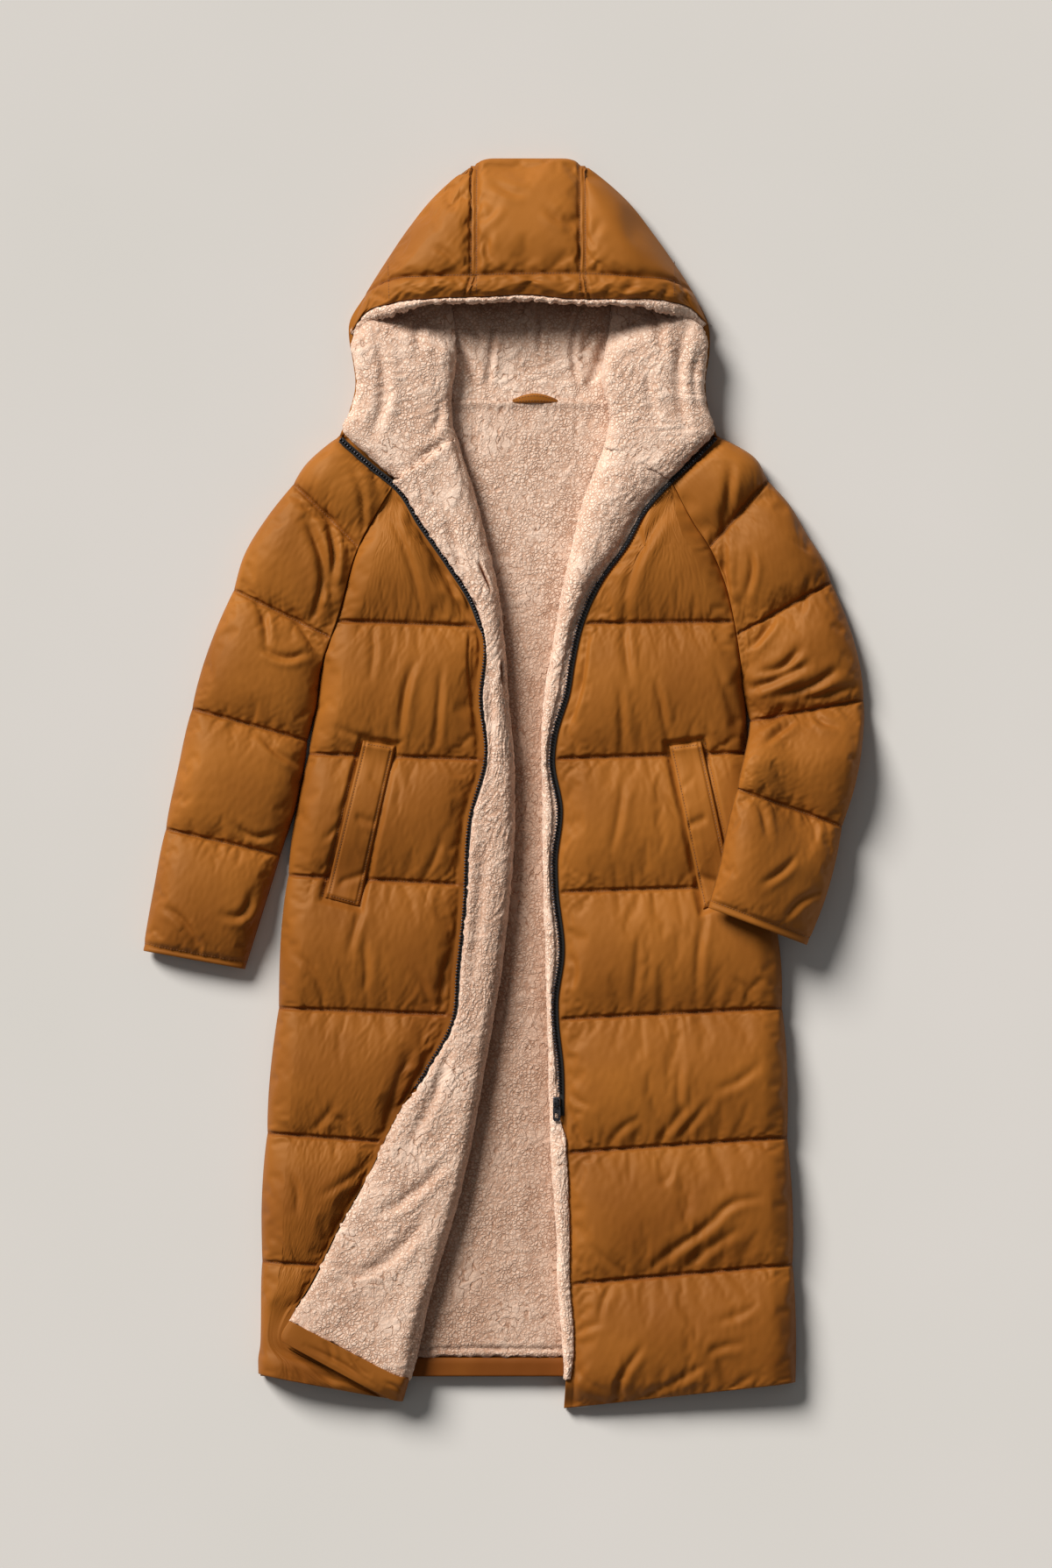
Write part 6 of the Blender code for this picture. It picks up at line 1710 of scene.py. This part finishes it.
def turnback(side, table, seed):
    # one side of the hood, turned back: its padding in shell cloth, and the fleece over it
    look = turnbackLook
    padOut, padIn, furOut, furIn = [], [], [], []
    low = liningTop + 0.4
    for k, (ox, oy, fx, fy, high) in zip(*smoothTable(table, look["rows"])):
        row = Row((ox, oy), (fx, fy))
        wide, fold = row.length, row.length - fleeceThick - 0.9
        base = mix(liningBase + 0.3, frontBase + 0.3, smoothstep(k - 6.0))
        pad = look["padHigh"] * high + frontBase * (1 - high)
        fur = pad + seamGap + fleeceThick

        def capped(spots):
            # keeps each (place along the row, height, room) under the hood, with that room above it
            path = []
            for s, z, room in spots:
                x, y = row.at(s)
                under = smoothstep((y - brimLine(x) + 12.0) / 9.0)
                z = mix(z, min(z, float(hoodHeight(x, y)) - 12.0 - room), under)
                fall = sunk(x, y) * min(0.68 + 0.017 * room, look["fallen"])
                path.append((x, y, low + 2.0 + max(z - low - 2.0, 0.0) * (1 - fall)))
            return path

        padOut.append(denseRow(capped([(s, z, 14.6) for s, z in (
            (4.0, pad - 10), (12.0, pad - 1), (0.35 * fold, pad + 1), (0.7 * fold, pad + 1),
            (fold - 7, pad - 1), (fold, pad - 8))]), look["padColumns"], 1))
        padIn.append(denseRow([(*row.at(s), base) for s in (4.5, 12.0, 0.5 * fold, fold - 0.5)],
                              look["padColumns"], 0))
        furOut.append(denseRow(capped((
            (0.0, pad - 7, 8.0), (2.0, pad, 7.6), (11.0, fur - 1, 7.4), (0.35 * wide, fur + 1, 7.4),
            (0.7 * wide, fur + 1, 7.4), (wide - 9, fur - 1, 7.4), (wide - 1.5, fur - 9, 8.0))) + [
            (*row.at(wide), max(min(pad - 10, low + 6), low + 1.5)), (*row.at(wide - 0.5), low)],
            look["furColumns"]))
        furIn.append(denseRow(capped((
            (2.5, pad - 9.2, 14.0), (3.0, pad - 7.2, 13.8), (11.5, pad + 0.8, 13.6),
            (0.35 * fold, pad + 1.8, 13.6), (0.7 * fold, pad + 1.8, 13.6), (fold - 6.6, pad - 0.2, 13.6),
            (fold + 0.7, pad - 8, 13.8))) + [
            (*row.at(fold + 0.9), low + 1.4), (*row.at(fold + 0.9), low)], look["furColumns"], 0))
    pad = closedWall("hoodPadding" + side.capitalize(), np.array(padOut), np.array(padIn), shellCloth, 4)
    onCoat(pad, ("hood_%s_turnback" % side,))
    furOut = np.array(furOut)
    roundEnds(furOut, 0.0, 2.0)
    fur = fleecePiece("hoodFleece" + side.capitalize(), furOut, np.array(furIn), seed, 0.5, 1.2,
                      folds=hoodFolds[side], shade=turnbackShade)
    onCoat(fur, ("hood_lining_" + side,))


def buildHoodLining():
    turnFoldR, turnFoldL = (curve([row[3:5] for row in t]) for t in (turnbackRight, turnbackLeft))
    outer, inner = [], []
    for y in np.linspace(680.0, 459.0, 104):
        x = np.linspace(turnFoldR(y) - 6.0, turnFoldL(y) + 6.0, 90)
        top = smoothstep((480.0 - y) / 19.0)
        yHere = y + top * (neckLine(x) - 1.0 - y)
        outer.append(np.column_stack([x, yHere, np.full(len(x), liningTop - 1.0)]))
        inner.append(np.column_stack([x, yHere, np.full(len(x), liningBase)]))
    piece = fleecePiece("hoodFleeceBack", np.array(outer), np.array(inner), 11.5, 0.0, 0.5, 0.9,
                        hoodFolds["back"], underBrim)
    onCoat(piece, ("hood_lining_centre",))
    turnback("right", turnbackRight, 14.5)
    turnback("left", turnbackLeft, 17.5)
    print("hood lining made")


def buildBrimLip():
    # the lining of the brim, whose ragged edge shows below it
    xs = np.linspace(brim[0][1] + 2.0, brim[-1][1] - 2.0, 900)
    line = np.column_stack([xs, brimLine(xs)])
    along = stepsAlong(line)
    outer, inner = [], []
    for s in np.linspace(0.0, along[-1], 230):
        place = readAlong(line, along, s)
        ahead = readAlong(line, along, s + 4) - readAlong(line, along, s - 4)
        outward = unitVectors(np.array((ahead[1], -ahead[0])))
        ends, tip = (smoothstep((reach - min(s, along[-1] - s)) / 60.0) for reach in (115.0, 100.0))
        jag = 1.9 * float(softNoise(s / 2.6, 0.5, 31.0)) + 1.3 * float(softNoise(s / 7.0, 0.5, 33.0))
        out, into = [], []
        for shift, drop in ((7.4 + 7.0 * ends + jag, -2.0), (5.6 + 5.0 * ends + jag, -8.5), (1.2, -8.5),
                            (0.3, 0.0), (mix(-3.0, -1.0, tip), 0.5), (mix(-10.0, -2.0, tip), 1.0),
                            (mix(-20.0, -3.0, tip), 2.0)):
            x, y = place + outward * shift
            top = float(hoodHeight(*(place + outward * min(shift, 0.0)))) - 12.0 - 1.8
            out.append((x, y, max(top - drop, 4.0)))
            into.append((x, y, max(top - drop - 4.0, 2.5)))
        outer.append(denseRow(out, 14, 1))
        inner.append(denseRow(into, 14, 0))
    piece = fleecePiece("brimFleece", np.array(outer), np.array(inner), 20.5, ragged=7.0)
    onCoat(piece, ("hood_brim_lining",))
    print("lip of the brim made")


buildLapel()
buildFacing()
buildBackLining()
buildHoodLining()
buildBrimLip()
zipLook = {
    "pitch": 3.8,
    "toothLong": 3.6,
    "toothWide": 2.0,
    "toothHigh": 2.2,
    "tapeThick": 0.9,
    "top": 415.0,
    "rightEnd": -367.0,
    "leftTapeEnd": -398.0,
    "leftTeethEnd": -372.0,
}


def bevelledTooth():
    # one cast tooth: a block with a rounded nose, modelled once and copied along both tapes
    deselectAll()
    bpy.ops.mesh.primitive_cube_add(size=1)
    tooth = bpy.context.object
    tooth.scale = (zipLook["toothLong"], zipLook["toothWide"], zipLook["toothHigh"])
    bpy.ops.object.transform_apply(location=False, rotation=False, scale=True)
    soft = tooth.modifiers.new("soft", "BEVEL")
    soft.width = 0.5
    soft.segments = 1
    bpy.ops.object.modifier_apply(modifier="soft")
    shape = [tuple(v.co) for v in tooth.data.vertices], [list(p.vertices) for p in tooth.data.polygons]
    bpy.data.objects.remove(tooth)
    return shape


def zipPath(line, endY, step):
    # points at even steps along a zip, each with the way along it and the way across it
    ys = np.linspace(zipLook["top"], endY, 1600)
    path = np.column_stack([line(ys), ys])
    along = stepsAlong(path)
    spots = []
    for s in np.arange(2.0, along[-1], step):
        x, y = readAlong(path, along, s)
        a, b = unitVectors(readAlong(path, along, s + 2) - readAlong(path, along, s - 2))
        spots.append((np.array((x, y, 0.0)), np.array((a, b, 0.0)), np.array((-b, a, 0.0))))
    return spots


def zipTeeth(name, line, endY, shift, high):
    shape = bevelledTooth()
    spots = []
    for place, ahead, across in zipPath(line, endY, zipLook["pitch"]):
        place = place + across * shift(place[1]) + np.array((0.0, 0.0, high(place[1])))
        spots.append((place, np.array([across, ahead, (0.0, 0.0, 1.0)])))
    piece = copies(name, shape, spots, toothZinc)
    return onCoat(piece)


def zipTape(name, stand, line, endY, low, high):
    # a woven tape with a raised rib, under the edge of its front
    outer, inner = [], []
    base = frontSeam + seamGap
    for place, _, across in zipPath(line, endY, 3.0):
        y = place[1]
        s = np.linspace(low(y), high(y), 7)
        flat = place[:2] + across[:2] * s[:, None]
        rib = zipLook["tapeThick"] * (1 - 0.35 * np.exp(-((s - s[0] - 1.2) / 0.5) ** 2))
        outer.append(np.column_stack([flat, base + rib]))
        inner.append(np.column_stack([flat, np.full(7, base)]))
    piece = closedWall(name, np.array(outer), np.array(inner), tapeCloth, 2)
    wide = (high(0.0) - low(0.0)) / 1000
    onCoat(piece, (stand,))
    return piece


def betweenTurns(below, above, low=170.0):
    # a measure that changes where the zip turns over at the chest
    return lambda y: mix(below, above, chestTurn(y, low))


zipTape("rightZipTape", "right_zip_tape", edgeR, zipLook["rightEnd"], betweenTurns(-1.2, -6.0),
        betweenTurns(4.2, 1.5))
zipTeeth("rightZipTeeth", edgeR, zipLook["rightEnd"], betweenTurns(-1.5, -2.2), betweenTurns(31.5, 31.5))
zipTape("leftZipTape", "left_zip_tape", zipL, zipLook["leftTapeEnd"], betweenTurns(-2.3, -2.3),
        betweenTurns(2.8, 2.8))
zipTeeth("leftZipTeeth", zipL, zipLook["leftTeethEnd"], betweenTurns(-3.3, 0.8, 230.0),
         betweenTurns(33.4, 31.6, 230.0))
for name in ("zip_slider", "pull_tab"):
    nodes[name].data.materials.clear()
    nodes[name].data.materials.append(zipZinc)
print("zips made")


weltLook = {
    "rows": 64,
    "columns": 21,
    "rim": 1.2,
    "puff": 4.6,
    "inset": 3.5,  # how far its stitches lie inside its edges
    # width and depth of each fold, then where it starts and ends as shares down and across the welt
    "folds": ((0.03, 2.8, 0.47, 0.25, 0.49, 0.97), (0.028, 2.6, 0.9, 0.2, 0.8, 0.95),
              (0.03, 1.2, 0.2, 0.35, 0.27, 0.95)),
}


def pocketWelt(side, panel, seed):
    look = weltLook
    tree = treeOf(panel)
    a, b, c, d = (np.array(p) for p in pocketLook[side])
    marks, downs = np.linspace(0, 1, look["columns"]), np.linspace(0, 1, look["rows"])
    base = []
    for t in downs:
        spots = [mix(mix(a, d, t), mix(b, c, t), u) for u in marks]
        base.append([(x, y, hitFrom(tree, x, y, 36.0)) for x, y in spots])
    base = np.array(base)
    level = base[..., 2].copy()
    for _ in range(30):
        level[1:-1] = 0.25 * level[:-2] + 0.5 * level[1:-1] + 0.25 * level[2:]
    u, t = marks[None, :], downs[:, None]
    wide, tall = np.linalg.norm(b - a), np.linalg.norm(d - a)
    left, right = u * wide, (1 - u) * wide
    sewn = np.minimum(right, np.minimum(t, 1 - t) * tall)
    rise = look["rim"] + look["puff"] * quarterRound(sewn / 9.0) * (0.55 + 0.45 * quarterRound(left / 12.0))
    rise = rise - 1.5 * np.exp(-((sewn - 3.4) / 1.1) ** 2) - 1.1 * np.exp(-((left - 3.6) / 1.1) ** 2)
    gathers = softNoise(t * tall / 11.0, right / 40.0, seed) * np.exp(-np.maximum(sewn - 3.4, 0) / 9.0)
    rise = rise + 1.0 * gathers * smoothstep(sewn / 5.0)
    for foldWide, deep, t0, u0, t1, u1 in look["folds"]:
        middle = t0 + (t1 - t0) * (u - u0) / (u1 - u0)
        within = smoothstep((u - u0) / 0.2) * smoothstep((u1 - u) / 0.1)
        rise = rise - deep * np.exp(-((t - middle) / foldWide) ** 2) * within
    top, low = base.copy(), base.copy()
    top[..., 2] = np.maximum(level, base[..., 2] - 0.5) + rise
    low[..., 2] = base[..., 2] - 1.2
    piece = closedWall(side + "PocketWelt", finer(top), finer(low), shellCloth, 4)
    onCoat(piece, (side + "_pocket_welt",))
    # its rows of stitches inside each edge, and one on the panel beside the opening
    over = treeOf(piece, panel)
    across, down = (b - a) / wide, (d - a) / tall
    right, foot = across * look["inset"], down * look["inset"]
    corners = [a + right + foot, b - right + foot, c - right - foot, d + right - foot]
    lines = [laidOn(over, p, q) for p, q in zip(corners, corners[1:] + corners[:1])]
    lines.append(laidOn(over, a - across * 4.2, d - across * 4.2))
    sewnLines.setdefault("welts", []).extend(lines)


def laidOn(tree, p, q):
    # a straight line laid on the cloth below it: its points and which way is out
    points, normals = [], []
    for t in np.linspace(0, 1, max(8, int(np.linalg.norm(q - p) / 3))):
        x, y = mix(p, q, t)
        hit, way, *_ = tree.ray_cast(Vector((x, y, 200.0)) * unit, Vector((0, 0, -1)))
        points.append((x, y, hit.z / unit if hit else 34.0))
        normals.append(tuple(way) if hit else (0.0, 0.0, 1.0))
    return np.array(points), np.array(normals)


pocketWelt("right", shell["rightFront"], 3.0)
pocketWelt("left", shell["leftFront"], 6.0)


hangerLook = {
    "left": 6.0,
    "right": 70.0,
    "low": 457.0,
    "arch": 5.0,
    "rise": 5.6,
    "halfEnd": 1.0,
    "halfMiddle": 4.7,
    "thick": 1.6,
}


def hangerLoop():
    look = hangerLook
    outer, inner = [], []
    roll = np.linspace(-1, 1, 9)
    for t in np.linspace(0, 1, 40):
        bow = math.sin(math.pi * t)
        z = liningTop - 2.4 + look["rise"] * bow
        across = look["low"] + look["arch"] * bow + (look["halfEnd"] + look["halfMiddle"] * bow) * roll
        high = z + look["thick"] * np.sqrt(np.maximum(0.0, 1 - np.abs(roll) ** 3)) + 0.2
        x = np.full(9, mix(look["left"], look["right"], t))
        outer.append(np.column_stack([x, across, high]))
        inner.append(np.column_stack([x, across, np.full(9, z)]))
    outer = np.array(outer)
    piece = closedWall("hangerLoop", outer, np.array(inner), shellCloth, 2)
    onCoat(piece, ("hanger_loop",))
    up = np.zeros_like(outer[:, 0])
    up[:, 2] = 1.0
    sewnLines["loop"] = [(outer[:, 2], up), (outer[:, 6], up)]


hangerLoop()
print("pockets and hanger loop made")
sewingLook = {"pitch": 3.6, "long": 2.6, "thick": 0.8, "high": 0.5}


def hoodLines():
    # the hood's sewing is laid on it from above
    tree = treeOf(shell["hood"])
    strip = hoodLook["strip"]

    def lineOf(x, top, lean, over):
        return laidOn(tree, np.array((x, top)), np.array((x + lean, brimLine(x) + over)))

    lines = [lineOf(seam + side, 737.0, 0.0, 3.0) for seam in (centreStripRight, centreStripLeft)
             for side in (-strip, strip)]
    across = np.linspace(-150.0, 212.0, 60)
    band = [laidOn(tree, np.array((p, bandLine(p))), np.array((q, bandLine(q))))
            for p, q in zip(across, across[1:])]
    lines.append(tuple(np.concatenate([part[i] for part in band]) for i in (0, 1)))
    return lines + [lineOf(-138.0, 626.0, 2.0, 5.0), lineOf(205.0, 628.0, -1.0, 5.0)]


def sewThread(name, lines):
    # rows of single stitches, each a short rounded length of thread whose ends dip into the cloth
    long, thick, high = sewingLook["long"] / 2, sewingLook["thick"] / 2, sewingLook["high"]
    pitch = sewingLook["pitch"]
    shape = [(-long, 0.0, -0.5)]
    for x in (-0.55 * long, 0.55 * long):
        shape += [(x, -thick, 0.0), (x, 0.0, high), (x, thick, 0.0), (x, 0.0, -0.4)]
    shape += [(long, 0.0, -0.5)]
    faces = [(0, 2, 1), (0, 3, 2), (0, 4, 3), (0, 1, 4)]
    faces += [(1 + k, 1 + (k + 1) % 4, 5 + (k + 1) % 4, 5 + k) for k in range(4)]
    faces += [(9, 5, 6), (9, 6, 7), (9, 7, 8), (9, 8, 5)]
    spots = []
    for points, normals in lines:
        along = stepsAlong(points)
        for s in np.arange(pitch, along[-1] - 1.5, pitch):
            ahead = unitVectors(readAlong(points, along, s + long) - readAlong(points, along, s - long))
            up = readAlong(normals, along, s)
            up = unitVectors(up - ahead * (up @ ahead))
            place = readAlong(points, along, s) + up * 0.15
            spots.append((place, np.array([ahead, np.cross(up, ahead), up])))
    return onCoat(copies(name, (shape, faces), spots, thread))


sewnLines["hood"] = hoodLines()
for name, lines in sewnLines.items():
    sewThread(name + "Stitches", lines)
print("sewing made")
